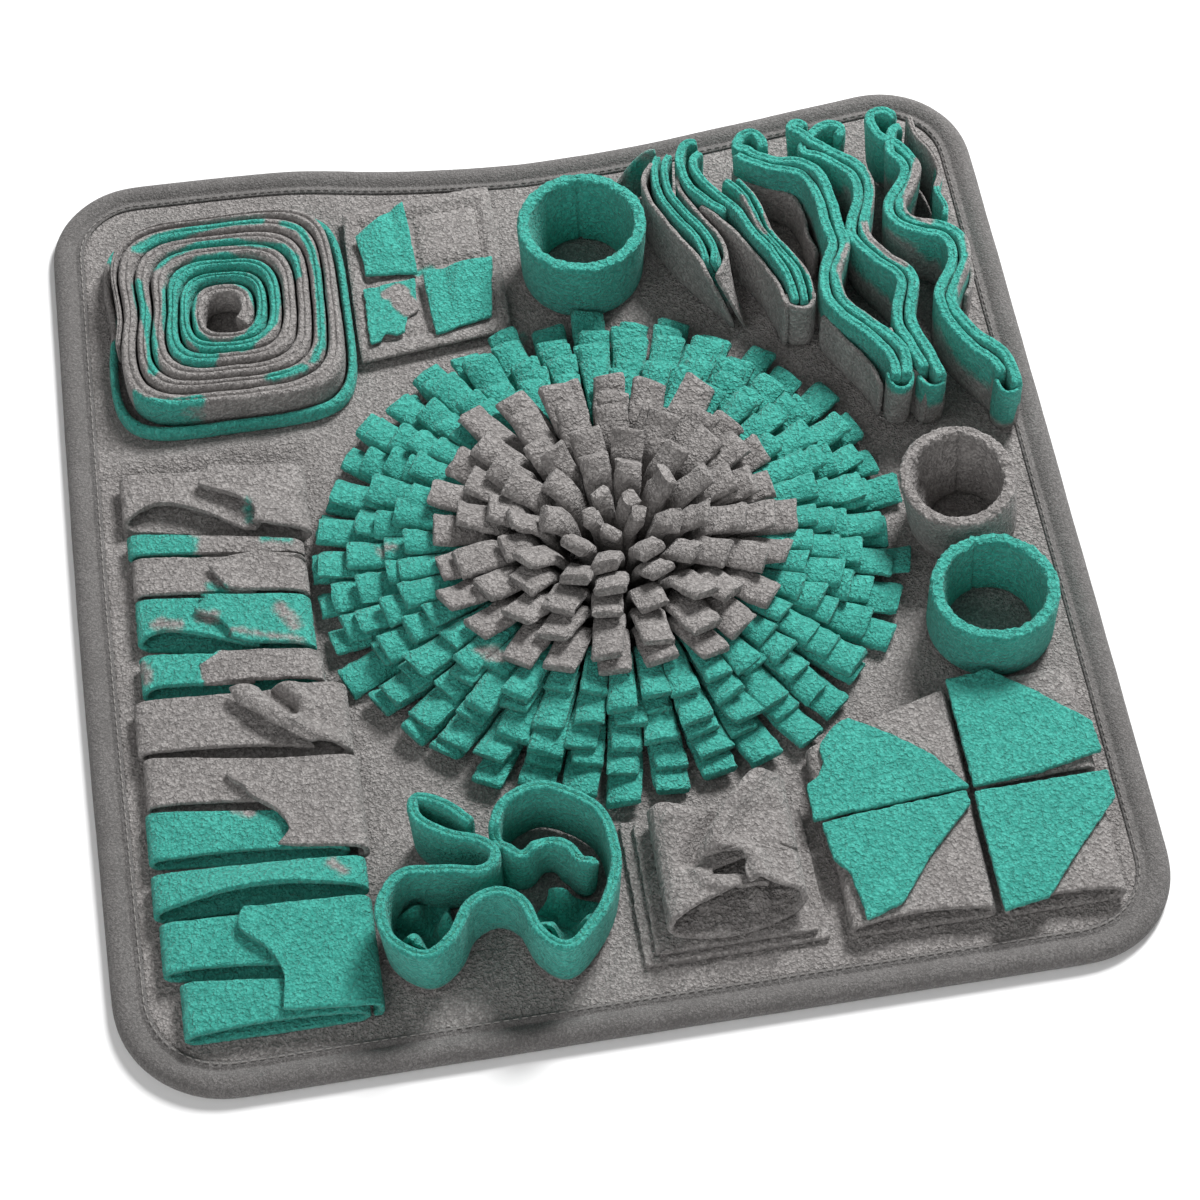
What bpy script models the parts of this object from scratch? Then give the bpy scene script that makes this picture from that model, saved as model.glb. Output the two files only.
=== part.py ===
# Snuffle mat: a fleece panel with a padded rim, and the fleece hiding places sewn on it.
# Tables are in millimetres, seen from above: +X right, +Y to the far edge, +Z up.
# The origin is the middle of the underside.

import math
import random
from collections import namedtuple

import bmesh
import bpy
from mathutils import Vector

MM = 0.001
SEAT_GAP = 0.3                # clearance between a piece and what it is sewn to
SEED = 7

# panel and rim
PANEL_THICK = 5.0
RIM_WIDTH = 12.0
SEAT = PANEL_THICK + SEAT_GAP  # underside of every piece that is sewn to the panel

Corner = namedtuple("Corner", "x y radius start")     # start: the arc's first angle, degrees
CORNERS = {
    "near_right": Corner(227.0, -244.0, 45.0, -90.0),
    "far_right": Corner(227.0, 245.5, 45.0, 0.0),
    "far_left": Corner(-226.0, 247.5, 42.0, 90.0),
    "near_left": Corner(-225.0, -247.5, 50.0, 180.0),
}
FAR_EDGE = [(111.0, 237.0), (60.0, 231.5), (3.0, 230.0), (-55.0, 235.5), (-110.0, 244.8)]
LEFT_EDGE = [(-227.0, 60.0), (-227.0, -40.0)]
ARC_STEPS = 7
RIM_SECTION = [(0.8, 0.0), (0.0, 3.2), (1.6, 6.4), (6.0, 8.0), (10.4, 6.8), (12.0, 4.4), (12.0, 0.0)]

# wound coil, far left
COIL_CENTRE = (-144.5, 149.5)
COIL_HALF = (58.5, 62.5)
COIL_BORDER = (4.0, 13.5)     # width, top
COIL_TURNS = [8.0, 6.5, 7.0, 7.0, 6.5, 6.0, 5.5]      # widths, from the outside in
COIL_TOP = 25.0
COIL_GROOVE = 18.0
COIL_SQUARENESS = (5.0, 2.2)  # outer turn, inner turn
COIL_SIDES = 32

# patchwork square, far edge
PATCH_CORNERS = [(-85.2, 115.0), (-11.0, 123.5), (-10.5, 215.0), (-85.0, 209.0)]
PATCH_THICK = 5.6
PATCH_PUFF = 1.0              # how far each sewn square stands above its groove
PATCH_TOP = SEAT + PATCH_THICK + PATCH_PUFF / 2
KITE_FLAP = [(-76.5, 165.5, 12.4), (-51.5, 162.5, 12.4), (-53.5, 204.0, 18.5), (-79.0, 189.0, 14.2)]
SQUARE_FLAP = [(-48.0, 124.5, 12.0), (-20.0, 131.0, 12.1), (-15.5, 162.5, 18.5), (-49.5, 161.5, 15.5)]
TORN_PIECE = [(-79.0, 124.0), (-74.0, 125.0), (-71.0, 130.0), (-62.0, 128.5), (-60.0, 137.0),
              (-54.0, 140.0), (-53.5, 160.0), (-66.0, 159.0), (-79.0, 157.0)]

# standing cups
Cup = namedtuple("Cup", "name colour x y radius height lean_x lean_y slope flare")
CUPS = [
    Cup("cup_back", "teal", 27.0, 156.0, 29.0, 38.5, 0.5, -0.5, 0.0, 1.5),
    Cup("cup_grey", "grey", 176.5, -17.5, 24.5, 36.5, -4.5, 1.0, 3.0, 1.5),
    Cup("cup_front", "teal", 176.5, -74.0, 28.5, 32.5, 0.0, -0.5, 0.5, -0.2),
]
CUP_WALL = 6.0                # a doubled strip
CUP_SIDES = 24

# waved double strips on edge, far right; each row is one bend of the strip's top edge
RUFFLE_HEIGHT = 37.0
RUFFLE_FLEECE = 4.6           # one layer, itself a doubled strip
RUFFLE_SPREAD = 2.95          # from the strip's middle to the middle of a layer
RUFFLE_TOE = (14.0, -9.0)     # how far the near end of the first strip splays at its foot
RUFFLES = {
    "ruffle_1": [(69.0, 194.0), (66.5, 178.0), (73.5, 157.0), (81.5, 139.0), (83.0, 116.0)],
    "ruffle_2": [(86.0, 198.0), (83.5, 183.0), (92.0, 166.0), (103.0, 148.0), (114.0, 126.0),
                 (122.0, 106.0), (121.0, 93.0)],
    "ruffle_3": [(113.0, 198.0), (110.0, 187.0), (122.0, 179.0), (138.0, 172.0), (143.5, 156.0),
                 (144.0, 138.0), (145.0, 124.0), (137.5, 108.0), (138.0, 90.0), (150.0, 73.0),
                 (159.0, 58.0), (158.0, 40.0)],
    "ruffle_4": [(140.0, 200.0), (138.5, 191.0), (150.0, 180.5), (161.0, 168.0), (163.0, 153.0),
                 (155.5, 131.0), (163.0, 113.5), (172.5, 98.0), (166.5, 78.0), (170.5, 57.0),
                 (174.0, 38.0)],
    "ruffle_5": [(175.0, 197.0), (173.5, 186.0), (183.5, 176.5), (187.5, 163.0), (175.0, 143.0),
                 (180.0, 130.0), (197.0, 123.0), (199.0, 106.0), (187.5, 84.0), (194.0, 62.0),
                 (205.5, 44.0), (207.0, 29.0)],
}
RUFFLE_STEPS = {"ruffle_1": 10, "ruffle_2": 13, "ruffle_3": 22, "ruffle_4": 22, "ruffle_5": 25}
EDGE_RUFFLE = [(194.0, 199.0), (194.5, 187.0), (199.5, 174.5), (201.5, 161.0), (197.5, 150.5), (199.5, 140.0)]
EDGE_RUFFLE_STEPS = 9

# fringed rings that make the flower
FLOWER_CENTRE = (14.0, -8.0)
FLOWER_DRIFT = (3.0, -6.0)   # how far the flower's heart lies from the middle of its edge
FLOWER_STRETCH = (1.03, 1.0)
STRIP_THICK = 2.6
STRIP_WIDTH = 14.0
FRINGE_ROOT = 2.6             # height of the uncut band that joins the strips
Tier = namedtuple("Tier", "name colour strips root tip crest end")
TIERS = [
    Tier("fringe_teal_1", "teal", 40, 89.0, 130.0, 10.8, 8.6),
    Tier("fringe_teal_2", "teal", 40, 80.0, 121.0, 15.2, 13.4),
    Tier("fringe_teal_3", "teal", 40, 71.0, 111.5, 19.6, 18.0),
    Tier("fringe_teal_4", "teal", 40, 62.0, 102.0, 24.0, 22.4),
    Tier("fringe_teal_5", "teal", 40, 53.0, 92.0, 28.4, 26.8),
    Tier("fringe_grey_1", "grey", 24, 44.0, 81.0, 32.6, 31.2),
    Tier("fringe_grey_2", "grey", 20, 35.5, 69.0, 36.6, 35.6),
    Tier("fringe_grey_3", "grey", 16, 27.5, 57.0, 40.4, 39.6),
    Tier("fringe_grey_4", "grey", 13, 19.5, 44.0, 44.0, 43.6),
    Tier("fringe_grey_5", "grey", 9, 12.0, 29.0, 46.5, 47.5),
    Tier("fringe_grey_6", "grey", 5, 5.0, 12.0, 45.0, 50.5),
]

# flat loops down the left side; back and front are the far and near edges at the loop's two ends,
# lip is how far the upper layer's near edge is drawn back in its middle
FLEECE = 2.8
LOOP_TOP = 14.0               # middle of a loop's upper layer
TAB_TOP = 17.3                # middle of a tab that lies on that layer
# under and tab are where the lower and upper cut ends stop, from the far edge to the near edge
Loop = namedtuple("Loop", "name colour left right back front under tab lip")
OPEN_LOOPS = [
    Loop("loop_curl", "grey", -203.0, -117.0, (66.0, 57.0), (39.5, 20.5), (-141.0, -138.0, -134.0, -142.0),
         (-163.0, -158.0, -142.0, -146.0), 7.0),
    Loop("loop_plain", "grey", -201.0, -121.0, (19.5, 7.5), (-1.0, -13.0), (-145.0, -145.0),
         (-165.0, -163.0, -160.0, -157.0), 0.5),
    Loop("loop_torn", "teal", -201.0, -121.0, (-3.0, -15.0), (-26.0, -42.0), (-146.0, -146.0),
         (-171.0, -170.0, -172.0, -160.0), 4.0),
    Loop("loop_mixed", "teal", -201.0, -119.0, (-33.0, -45.0), (-53.5, -60.0), (-150.0, -150.0),
         (-161.0, -166.0, -173.0, -172.0), 1.5),
    Loop("loop_twist", "grey", -205.0, -110.5, (-57.0, -63.0), (-84.0, -98.0), (-140.0, -140.0),
         (-158.0, -158.0, -146.0, -134.0), 2.0),
]
# rise is how far the upper layer arches up at its near edge
Tube = namedtuple("Tube", "name colour left right back front rise lip")
CLOSED_LOOPS = [
    Tube("loop_slim", "teal", -202.0, -121.0, (33.0, 17.0), (21.5, 10.0), 0.0, 0.0),
    Tube("loop_upper_grey", "grey", -203.5, -117.0, (-86.0, -101.0), (-111.0, -123.5), 0.0, 2.0),
    Tube("loop_lower_grey", "teal", -204.5, -117.0, (-113.5, -126.0), (-138.0, -145.0), 0.0, 2.0),
    Tube("loop_arch", "teal", -204.5, -111.0, (-144.5, -149.5), (-164.0, -165.0), 6.0, 5.0),
    Tube("loop_upper_teal", "teal", -202.5, -117.0, (-168.0, -172.0), (-192.0, -204.0), 0.0, 3.5),
    Tube("loop_lower_teal", "teal", -196.0, -117.0, (-197.0, -206.5), (-223.0, -223.0), 0.0, 2.0),
]
Tab = namedtuple("Tab", "name colour right back front cut")
WIDE_TABS = [
    Tab("tab_grey", "grey", -109.5, (-96.5, -101.0), (-139.0, -147.0),
        (-163.0, -164.0, -154.0, -144.0, -148.0)),
    Tab("tab_teal", "teal", -111.5, (-168.0, -170.0), (-217.5, -222.0),
        (-166.0, -166.0, -156.0, -151.5, -153.0)),
]

# clover wall: each row is one bend of the strip on edge
CLOVER_TOP = 40.0
CLOVER_WALL = 5.0             # a doubled strip
CLOVER_MIDDLE = (-60.0, -180.0)
CLOVER_FOOT = 0.965           # size of the wall's foot against its top
CLOVER_STEPS = 72
CLOVER_BENDS = [
    (-65.5, -155.0), (-74.0, -145.5), (-87.0, -139.5), (-88.0, -149.0), (-77.0, -158.0), (-64.5, -163.0),
    (-57.5, -170.5), (-63.0, -178.0), (-80.0, -175.5), (-97.0, -174.5), (-107.5, -187.0), (-105.0, -204.0),
    (-92.0, -213.5), (-80.0, -206.5), (-72.0, -193.5), (-60.0, -188.5), (-50.0, -195.0), (-44.0, -210.0),
    (-34.0, -218.5), (-23.0, -211.0), (-12.0, -195.0), (-8.0, -176.0), (-13.0, -156.0), (-33.0, -142.0),
    (-50.0, -147.5), (-56.5, -159.0), (-49.0, -171.0), (-37.0, -166.0), (-26.0, -172.0), (-17.5, -183.0),
]
Scrap = namedtuple("Scrap", "name x y half_x half_y turn")
SCRAPS = [
    Scrap("clover_scrap_left", -91.0, -191.5, 7.5, 7.0, 20.0),
    Scrap("clover_scrap_right", -32.0, -197.0, 7.5, 8.0, -25.0),
]

# folded envelope, near edge
ENVELOPE_LOWER = [(-2.5, -148.5), (-2.0, -218.0), (77.0, -217.0), (75.5, -146.5)]
ENVELOPE_UPPER = [(3.0, -151.0), (3.0, -214.5), (72.5, -214.0), (72.0, -149.5)]
SLEEVE = Loop("envelope_sleeve", "grey", 9.0, 69.5, (-151.5, -146.0), (-208.5, -204.0),
              (25.0, 27.0, 33.0, 43.0), (52.0, 33.0, 30.0, 46.0), 7.0)
SLEEVE_LAYERS = (25.5, 29.5)  # middles of the sleeve's two upper layers
SLEEVE_SAG = -6.0             # how far the lower lip of its mouth stands out

# pinwheel of four flat pockets, near right
POCKET_TOP = 13.9
POCKETS = [
    Tube("pocket_far_left", "grey", 82.0, 148.5, (-129.0, -108.0), (-161.0, -159.5), 0.0, 0.0),
    Tube("pocket_far_right", "grey", 151.5, 205.0, (-108.0, -106.5), (-160.0, -157.5), 0.0, 0.0),
    Tube("pocket_near_left", "grey", 85.0, 147.0, (-168.0, -164.5), (-218.0, -218.0), 0.0, 1.0),
    Tube("pocket_near_right", "grey", 150.5, 204.0, (-164.0, -164.0), (-219.0, -218.0), 0.0, 1.0),
]
FLAP_OUTLINES = {
    "pocket_flap_far_left": [(103.0, -118.0), (97.0, -120.5), (88.0, -130.0), (88.5, -138.0),
                             (85.5, -144.5), (79.0, -148.0), (79.0, -166.0), (148.0, -160.8),
                             (135.0, -142.0), (120.0, -129.5)],
    "pocket_flap_far_right": [(151.0, -106.5), (151.5, -161.0), (180.0, -158.5), (208.0, -152.0),
                              (207.0, -137.0), (186.0, -118.0), (168.0, -104.0)],
    "pocket_flap_near_left": [(82.0, -167.5), (84.0, -185.0), (89.5, -193.0), (92.5, -216.5), (109.0, -211.0),
                              (125.0, -190.5), (147.0, -168.5), (146.0, -162.2)],
    "pocket_flap_near_right": [(149.5, -163.2), (151.0, -221.5), (170.0, -218.0), (185.0, -200.5),
                               (208.5, -175.0), (208.0, -162.0)],
}

COLOURS = {
    "teal": (0.045, 0.36, 0.27),
    "grey": (0.29, 0.27, 0.26),
    "panel_grey": (0.19, 0.175, 0.17),
}


# ---------- scene and materials ----------

def clear_scene():
    for obj in list(bpy.data.objects):
        bpy.data.objects.remove(obj, do_unlink=True)


def new_collection(name):
    collection = bpy.data.collections.new(name)
    bpy.context.scene.collection.children.link(collection)
    return collection


def fleece_material(name, colour):
    material = bpy.data.materials.new("fleece_" + name)
    material.use_nodes = True
    shader = material.node_tree.nodes["Principled BSDF"]
    shader.inputs["Base Color"].default_value = (*colour, 1.0)
    shader.inputs["Roughness"].default_value = 0.95
    shader.inputs["Metallic"].default_value = 0.0
    return material


# ---------- paths in plan, all in millimetres ----------

def along(values, fraction):
    """Read a short list of values at a fraction of its length."""
    place = fraction * (len(values) - 1)
    first = min(int(place), len(values) - 2)
    return values[first] + (values[first + 1] - values[first]) * (place - first)


def mix(start, end, fraction):
    return start + (end - start) * fraction


def smooth_path(bends, count, closed=False):
    """A Catmull-Rom curve through the bends, as evenly spaced points."""
    knots = [Vector(bend) for bend in bends]
    if closed:
        knots = [knots[-1]] + knots + knots[:2]
    else:
        knots = [2 * knots[0] - knots[1]] + knots + [2 * knots[-1] - knots[-2]]
    fine = []
    for a, b, c, d in zip(knots, knots[1:], knots[2:], knots[3:]):
        for step in range(12):
            t = step / 12
            fine.append(0.5 * (2 * b + (c - a) * t + (2 * a - 5 * b + 4 * c - d) * t ** 2
                               + (3 * b - a - 3 * c + d) * t ** 3))
    fine.append(knots[-2].copy())
    return even_points(fine, count)


def even_points(path, count):
    """Count + 1 points at even distances along an open path."""
    runs = [(b - a).length for a, b in zip(path, path[1:])]
    step = sum(runs) / count
    points = [path[0].copy()]
    walked = 0.0
    for start, end, run in zip(path, path[1:], runs):
        while run > 0 and len(points) < count and walked + run >= step * len(points):
            points.append(start.lerp(end, (step * len(points) - walked) / run))
        walked += run
    points.append(path[-1].copy())
    return points


def path_normals(path, closed=False):
    """Unit normals of a path in plan, to its right."""
    last = len(path) - 1
    normals = []
    for index in range(len(path)):
        before = path[index - 1] if index or closed else path[0]
        after = path[(index + 1) % len(path)] if index < last or closed else path[last]
        run = (after - before).normalized()
        normals.append(Vector((run.y, -run.x)))
    return normals


def panel_outline(inset):
    """The mat's edge, moved inwards, counter-clockwise from the near right corner."""
    edge = []
    sides = {"far_right": FAR_EDGE, "far_left": LEFT_EDGE}
    for name, corner in CORNERS.items():
        centre = Vector((corner.x - math.copysign(corner.radius, corner.x),
                         corner.y - math.copysign(corner.radius, corner.y)))
        for step in range(ARC_STEPS + 1):
            angle = math.radians(corner.start + 90.0 * step / ARC_STEPS)
            edge.append(centre + corner.radius * Vector((math.cos(angle), math.sin(angle))))
        edge += [Vector(point) for point in sides.get(name, [])]
    return [point - normal * inset for point, normal in zip(edge, path_normals(edge, closed=True))]


# ---------- shapes ----------

def finish(name, bm, colour, thickness=0.0, even=True):
    """Write a bmesh in millimetres as an object; an open sheet gets its fleece thickness."""
    bmesh.ops.scale(bm, vec=Vector((MM, MM, MM)), verts=bm.verts)
    mesh = bpy.data.meshes.new(name)
    bm.to_mesh(mesh)
    bm.free()
    obj = bpy.data.objects.new(name, mesh)
    obj.data.materials.append(FLEECES[colour])
    MAT.objects.link(obj)
    if thickness:
        wall = obj.modifiers.new("fleece thickness", "SOLIDIFY")
        wall.thickness = thickness * MM
        wall.offset = 0.0
        wall.use_even_offset = even
    return obj


def grid(columns, rows):
    """A flat grid and the (column, row) of each of its vertices."""
    bm = bmesh.new()
    bmesh.ops.create_grid(bm, x_segments=columns, y_segments=rows, size=0.5)
    places = {vert: (round((vert.co.x + 0.5) * columns), round((vert.co.y + 0.5) * rows))
              for vert in bm.verts}
    return bm, places


def cloth(name, shape, columns, rows, colour, thickness, wrap=False, even=True):
    """A fleece sheet: a grid laid on shape(u, v), then thickened; wrap sews its two ends together."""
    bm, places = grid(columns, rows)
    for vert, (column, row) in places.items():
        vert.co = shape(column / columns, row / rows)
    if wrap:
        bmesh.ops.remove_doubles(bm, verts=bm.verts, dist=0.01)
    return finish(name, bm, colour, thickness, even)


def ring_solid(name, shape, columns, rows, colour):
    """A closed ring: a grid rolled up both ways on shape(u, v)."""
    bm, places = grid(columns, rows)
    for vert, (column, row) in places.items():
        vert.co = shape((column % columns) / columns, (row % rows) / rows)
    bmesh.ops.remove_doubles(bm, verts=bm.verts, dist=0.01)
    bmesh.ops.recalc_face_normals(bm, faces=bm.faces)
    return finish(name, bm, colour)


def cut_piece(name, outline, underside, thickness, colour):
    """A flat piece cut from fleece: a filled outline with a thickness."""
    curve = bpy.data.curves.new(name, "CURVE")
    curve.dimensions = "2D"
    curve.fill_mode = "BOTH"
    curve.extrude = thickness / 2 * MM
    spline = curve.splines.new("POLY")
    spline.points.add(len(outline) - 1)
    for point, place in zip(spline.points, outline):
        point.co = (place[0] * MM, place[1] * MM, 0.0, 1.0)
    spline.use_cyclic_u = True
    obj = bpy.data.objects.new(name, curve)
    obj.location.z = (underside + thickness / 2) * MM
    obj.data.materials.append(FLEECES[colour])
    MAT.objects.link(obj)
    return obj


# ---------- panel and rim ----------

def make_panel():
    cut_piece("base_panel", panel_outline(RIM_WIDTH + SEAT_GAP), 0.0, PANEL_THICK, "panel_grey")


def make_rim():
    rings = [(panel_outline(inset), height) for inset, height in RIM_SECTION]

    def section(u, v):
        ring, height = rings[round(v * len(rings))]
        point = ring[round(u * len(ring))]
        return Vector((point.x, point.y, height))

    ring_solid("edge_binding", section, len(rings[0][0]), len(rings), "panel_grey")


# ---------- coil ----------

def coil_ring(inset, angle):
    """Plan radius of the coil's turn that lies inset from its outside, at an angle."""
    depth = inset / (sum(COIL_TURNS) + COIL_BORDER[0])
    power = mix(*COIL_SQUARENESS, depth)
    half_x = COIL_HALF[0] - inset
    half_y = COIL_HALF[1] - inset * COIL_HALF[1] / COIL_HALF[0]
    reach = (abs(math.cos(angle) / half_x) ** power + abs(math.sin(angle) / half_y) ** power) ** (-1 / power)
    return Vector((COIL_CENTRE[0] + reach * math.cos(angle), COIL_CENTRE[1] + reach * math.sin(angle)))


def make_coil_ring(name, section, colour):
    def shape(u, v):
        inset, height = section[round(v * len(section))]
        place = coil_ring(inset, math.tau * u)
        return Vector((place.x, place.y, height))

    ring_solid(name, shape, COIL_SIDES, len(section), colour)


def make_coil():
    width, top = COIL_BORDER
    make_coil_ring("coil_border", [(0.0, SEAT), (0.3, top - 1.5), (width / 2, top), (width, top - 1.5),
                                   (width, SEAT)], "teal")
    start = width + SEAT_GAP
    section = [(start, SEAT), (start, COIL_TOP - 2.5)]
    for turn in COIL_TURNS:
        section += [(start + 0.3 * turn, COIL_TOP), (start + 0.7 * turn, COIL_TOP)]
        start += turn
        section.append((start, COIL_GROOVE))
    section[-1] = (start, COIL_TOP - 2.5)
    section.append((start, SEAT))
    make_coil_ring("coil_windings", section, "grey")


# ---------- patchwork square ----------

def four_corners(corners, u, v):
    near = Vector(corners[0]).lerp(Vector(corners[1]), u)
    far = Vector(corners[3]).lerp(Vector(corners[2]), u)
    return near.lerp(far, v)


def make_patch():
    middle = SEAT + PATCH_THICK / 2

    def puffed(u, v):
        place = four_corners(PATCH_CORNERS, u, v)
        border = min(u, 1 - u, v, 1 - v) * 8
        groove = 0.8 < border < 1.2 or abs(u - 0.5) < 0.02 or abs(v - 0.5) < 0.02
        return Vector((place.x, place.y, middle + (0.0 if groove or border < 0.5 else PATCH_PUFF)))

    cloth("patch_panel", puffed, 8, 8, "grey", PATCH_THICK - PATCH_PUFF)

    def flap(corners):
        def shape(u, v):
            place = four_corners(corners, u, v)
            place.z += 1.2 * math.sin(math.pi * u) * v
            return place
        return shape

    cloth("patch_kite_flap", flap(KITE_FLAP), 3, 3, "teal", 2.4)
    cloth("patch_square_flap", flap(SQUARE_FLAP), 3, 3, "teal", 2.4)
    cut_piece("patch_torn_piece", TORN_PIECE, PATCH_TOP + SEAT_GAP, 2.0, "teal")


# ---------- cups ----------

def make_cup(cup):
    """A strip on edge, sewn into a ring that leans and opens a little towards its rim."""

    def wall(u, v):
        angle = math.tau * u
        height = cup.height + cup.slope * math.sin(angle)
        radius = cup.radius - CUP_WALL / 2 + cup.flare * v + 0.5 * math.sin(math.pi * v)
        return Vector((cup.x + cup.lean_x * v + radius * math.cos(angle),
                       cup.y + cup.lean_y * v + radius * math.sin(angle),
                       SEAT + 2 * SEAT_GAP + height * v))

    cloth(cup.name, wall, CUP_SIDES, 2, cup.colour, CUP_WALL, wrap=True)


# ---------- ruffles ----------

def settled(path, toe):
    """The strip's sewn foot: the same run with its waves partly drawn out, and its near end splayed."""
    last = len(path) - 1
    foot = []
    for index, point in enumerate(path):
        before = path[max(index - 2, 0)]
        after = path[min(index + 2, last)]
        drawn = point.lerp((before + after) / 2, 0.35 if 1 < index < last - 1 else 0.0)
        foot.append(drawn + Vector(toe) * max(0.0, 2 * index / last - 1) ** 2)
    return foot


def make_ruffle(name, bends, steps, toe=(0.0, 0.0)):
    """A strip folded in two along its foot, both layers standing on edge."""
    top = smooth_path(bends, steps)
    foot = settled(top, toe)
    top_sides = path_normals(top)
    foot_sides = path_normals(foot)
    foot_height = SEAT + 0.38 * RUFFLE_FLEECE + SEAT_GAP

    def fold(u, v):
        index = round(u * steps)
        side = -RUFFLE_SPREAD if v < 0.5 else RUFFLE_SPREAD
        if 0.1 < v < 0.9:
            place = foot[index] + foot_sides[index] * side
            return Vector((place.x, place.y, foot_height))
        place = top[index] + top_sides[index] * side
        return Vector((place.x, place.y, SEAT + RUFFLE_HEIGHT + 1.2 * math.sin(index * 0.9)))

    cloth(name, fold, steps, 3, "teal", RUFFLE_FLEECE, even=False)


def make_edge_ruffle():
    """The outermost strip is a single layer."""
    top = smooth_path(EDGE_RUFFLE, EDGE_RUFFLE_STEPS)

    def wall(u, v):
        place = top[round(u * EDGE_RUFFLE_STEPS)]
        return Vector((place.x, place.y, SEAT + (RUFFLE_HEIGHT - 3.0) * v))

    cloth("ruffle_6", wall, EDGE_RUFFLE_STEPS, 1, "grey", RUFFLE_FLEECE)


# ---------- flower ----------

Station = namedtuple("Station", "radius height width sway")


def strip_stations(tier, draw):
    """One strip of a tier from its sewn root to its cut tip."""
    pitch = math.tau / tier.strips
    crest = mix(tier.root, tier.tip, 0.36)
    tip = tier.tip + draw.uniform(-2.5, 2.0)
    sway = draw.uniform(-0.06, 0.06) * pitch

    def width(radius):
        return min(0.86 * pitch * radius, STRIP_WIDTH)

    return [
        Station(tier.root, SEAT, 0.0, 0.0),
        Station(tier.root, SEAT + FRINGE_ROOT, 0.0, 0.0),
        Station(crest, tier.crest, width(crest), 0.6 * sway),
        Station(tip, tier.end, width(tip), sway),
    ]


def flower_place(radius, angle, across):
    """A point of the flower in plan; its rings drift towards its heart as they get smaller."""
    drift = Vector(FLOWER_DRIFT) * (1 - radius / TIERS[0].tip)
    x = radius * math.cos(angle) - across * math.sin(angle)
    y = radius * math.sin(angle) + across * math.cos(angle)
    return Vector(FLOWER_CENTRE) + drift + Vector((x * FLOWER_STRETCH[0], y * FLOWER_STRETCH[1]))


def make_tier(tier, draw):
    """One fringed strip sewn in a ring: a band cut into strips that rise and bow outwards."""
    rows = 3
    bm, places = grid(tier.strips, rows)
    cuts = [edge for edge in bm.edges
            if places[edge.verts[0]][0] == places[edge.verts[1]][0]
            and min(places[vert][1] for vert in edge.verts) >= 1
            and 0 < places[edge.verts[0]][0] < tier.strips]
    bmesh.ops.split_edges(bm, edges=cuts)
    pitch = math.tau / tier.strips
    strips = [strip_stations(tier, draw) for _ in range(tier.strips)]
    moved = {}
    for face in bm.faces:
        centre = face.calc_center_median().x
        column = int((centre + 0.5) * tier.strips)
        for vert in face.verts:
            row = round((vert.co.y + 0.5) * rows)
            side = math.copysign(0.5, vert.co.x - centre)
            station = strips[column][row]
            angle = (column + 0.5) * pitch + station.sway + (side * pitch if row < 2 else 0.0)
            place = flower_place(station.radius, angle, side * station.width)
            moved[vert] = Vector((place.x, place.y, station.height))
    for vert, place in moved.items():
        vert.co = place
    bmesh.ops.remove_doubles(bm, verts=bm.verts, dist=0.01)
    finish(tier.name, bm, tier.colour, STRIP_THICK)


# ---------- loops, sleeve and pockets ----------

def fold_profile(end, inward, foot, top):
    """Half a flat loop's section at one end: from the top layer round the fold to the foot."""
    shoulder = min(0.9 * (top - foot), 7.0)
    half = FLEECE / 2
    return [
        (end + inward * (half + 1.4 * shoulder), top),
        (end + inward * (half + 0.4 * shoulder), mix(foot, top, 0.88)),
        (end + inward * half, mix(foot, top, 0.5)),
        (end + inward * (half + 0.4 * shoulder), mix(foot, top, 0.12)),
        (end + inward * (half + 1.4 * shoulder), foot),
    ]


def loop_depth(row, x, v):
    """Y of a loop's cloth at a plan x and a share of its depth, far edge to near edge."""
    share = (x - row.left) / (row.right - row.left)
    return mix(mix(*row.back, share), mix(*row.front, share), v)


def make_open_loop(row, seat, layers, sag=0.0, depth=3):
    """A strip wrapped flat: its upper end, the tab, lies over its lower end."""
    foot = seat + FLEECE / 2
    under_top, tab_top = layers

    def shape(u, v):
        left = fold_profile(row.left, 1, foot, under_top)
        right = fold_profile(row.right, -1, foot, tab_top)
        under = along(row.under, v)
        section = [(under, under_top), ((left[0][0] + under) / 2, under_top)] + left + right[::-1]
        section += [(mix(right[0][0], along(row.tab, v), 0.5), tab_top), (along(row.tab, v), tab_top)]
        x, height = section[round(u * (len(section) - 1))]
        share = math.sin(math.pi * (x - row.left) / (row.right - row.left))
        lip = sag if height < mix(foot, under_top, 0.5) else row.lip
        return Vector((x, loop_depth(row, x, v) + lip * share * v ** 2, height))

    cloth(row.name, shape, 13, depth, row.colour, FLEECE)


def make_closed_loop(row, top):
    """A flat loop sewn into a tube."""
    foot = SEAT + FLEECE / 2
    middle = (row.left + row.right) / 2
    section = (fold_profile(row.left, 1, foot, top) + fold_profile(row.right, -1, foot, top)[::-1]
               + [(middle, top)])

    def shape(u, v):
        x, height = section[round(u * len(section)) % len(section)]
        share = math.sin(math.pi * (x - row.left) / (row.right - row.left)) * v if height == top else 0.0
        return Vector((x, loop_depth(row, x, v) + row.lip * share, height + row.rise * share))

    cloth(row.name, shape, len(section), 2, row.colour, FLEECE, wrap=True)


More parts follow.
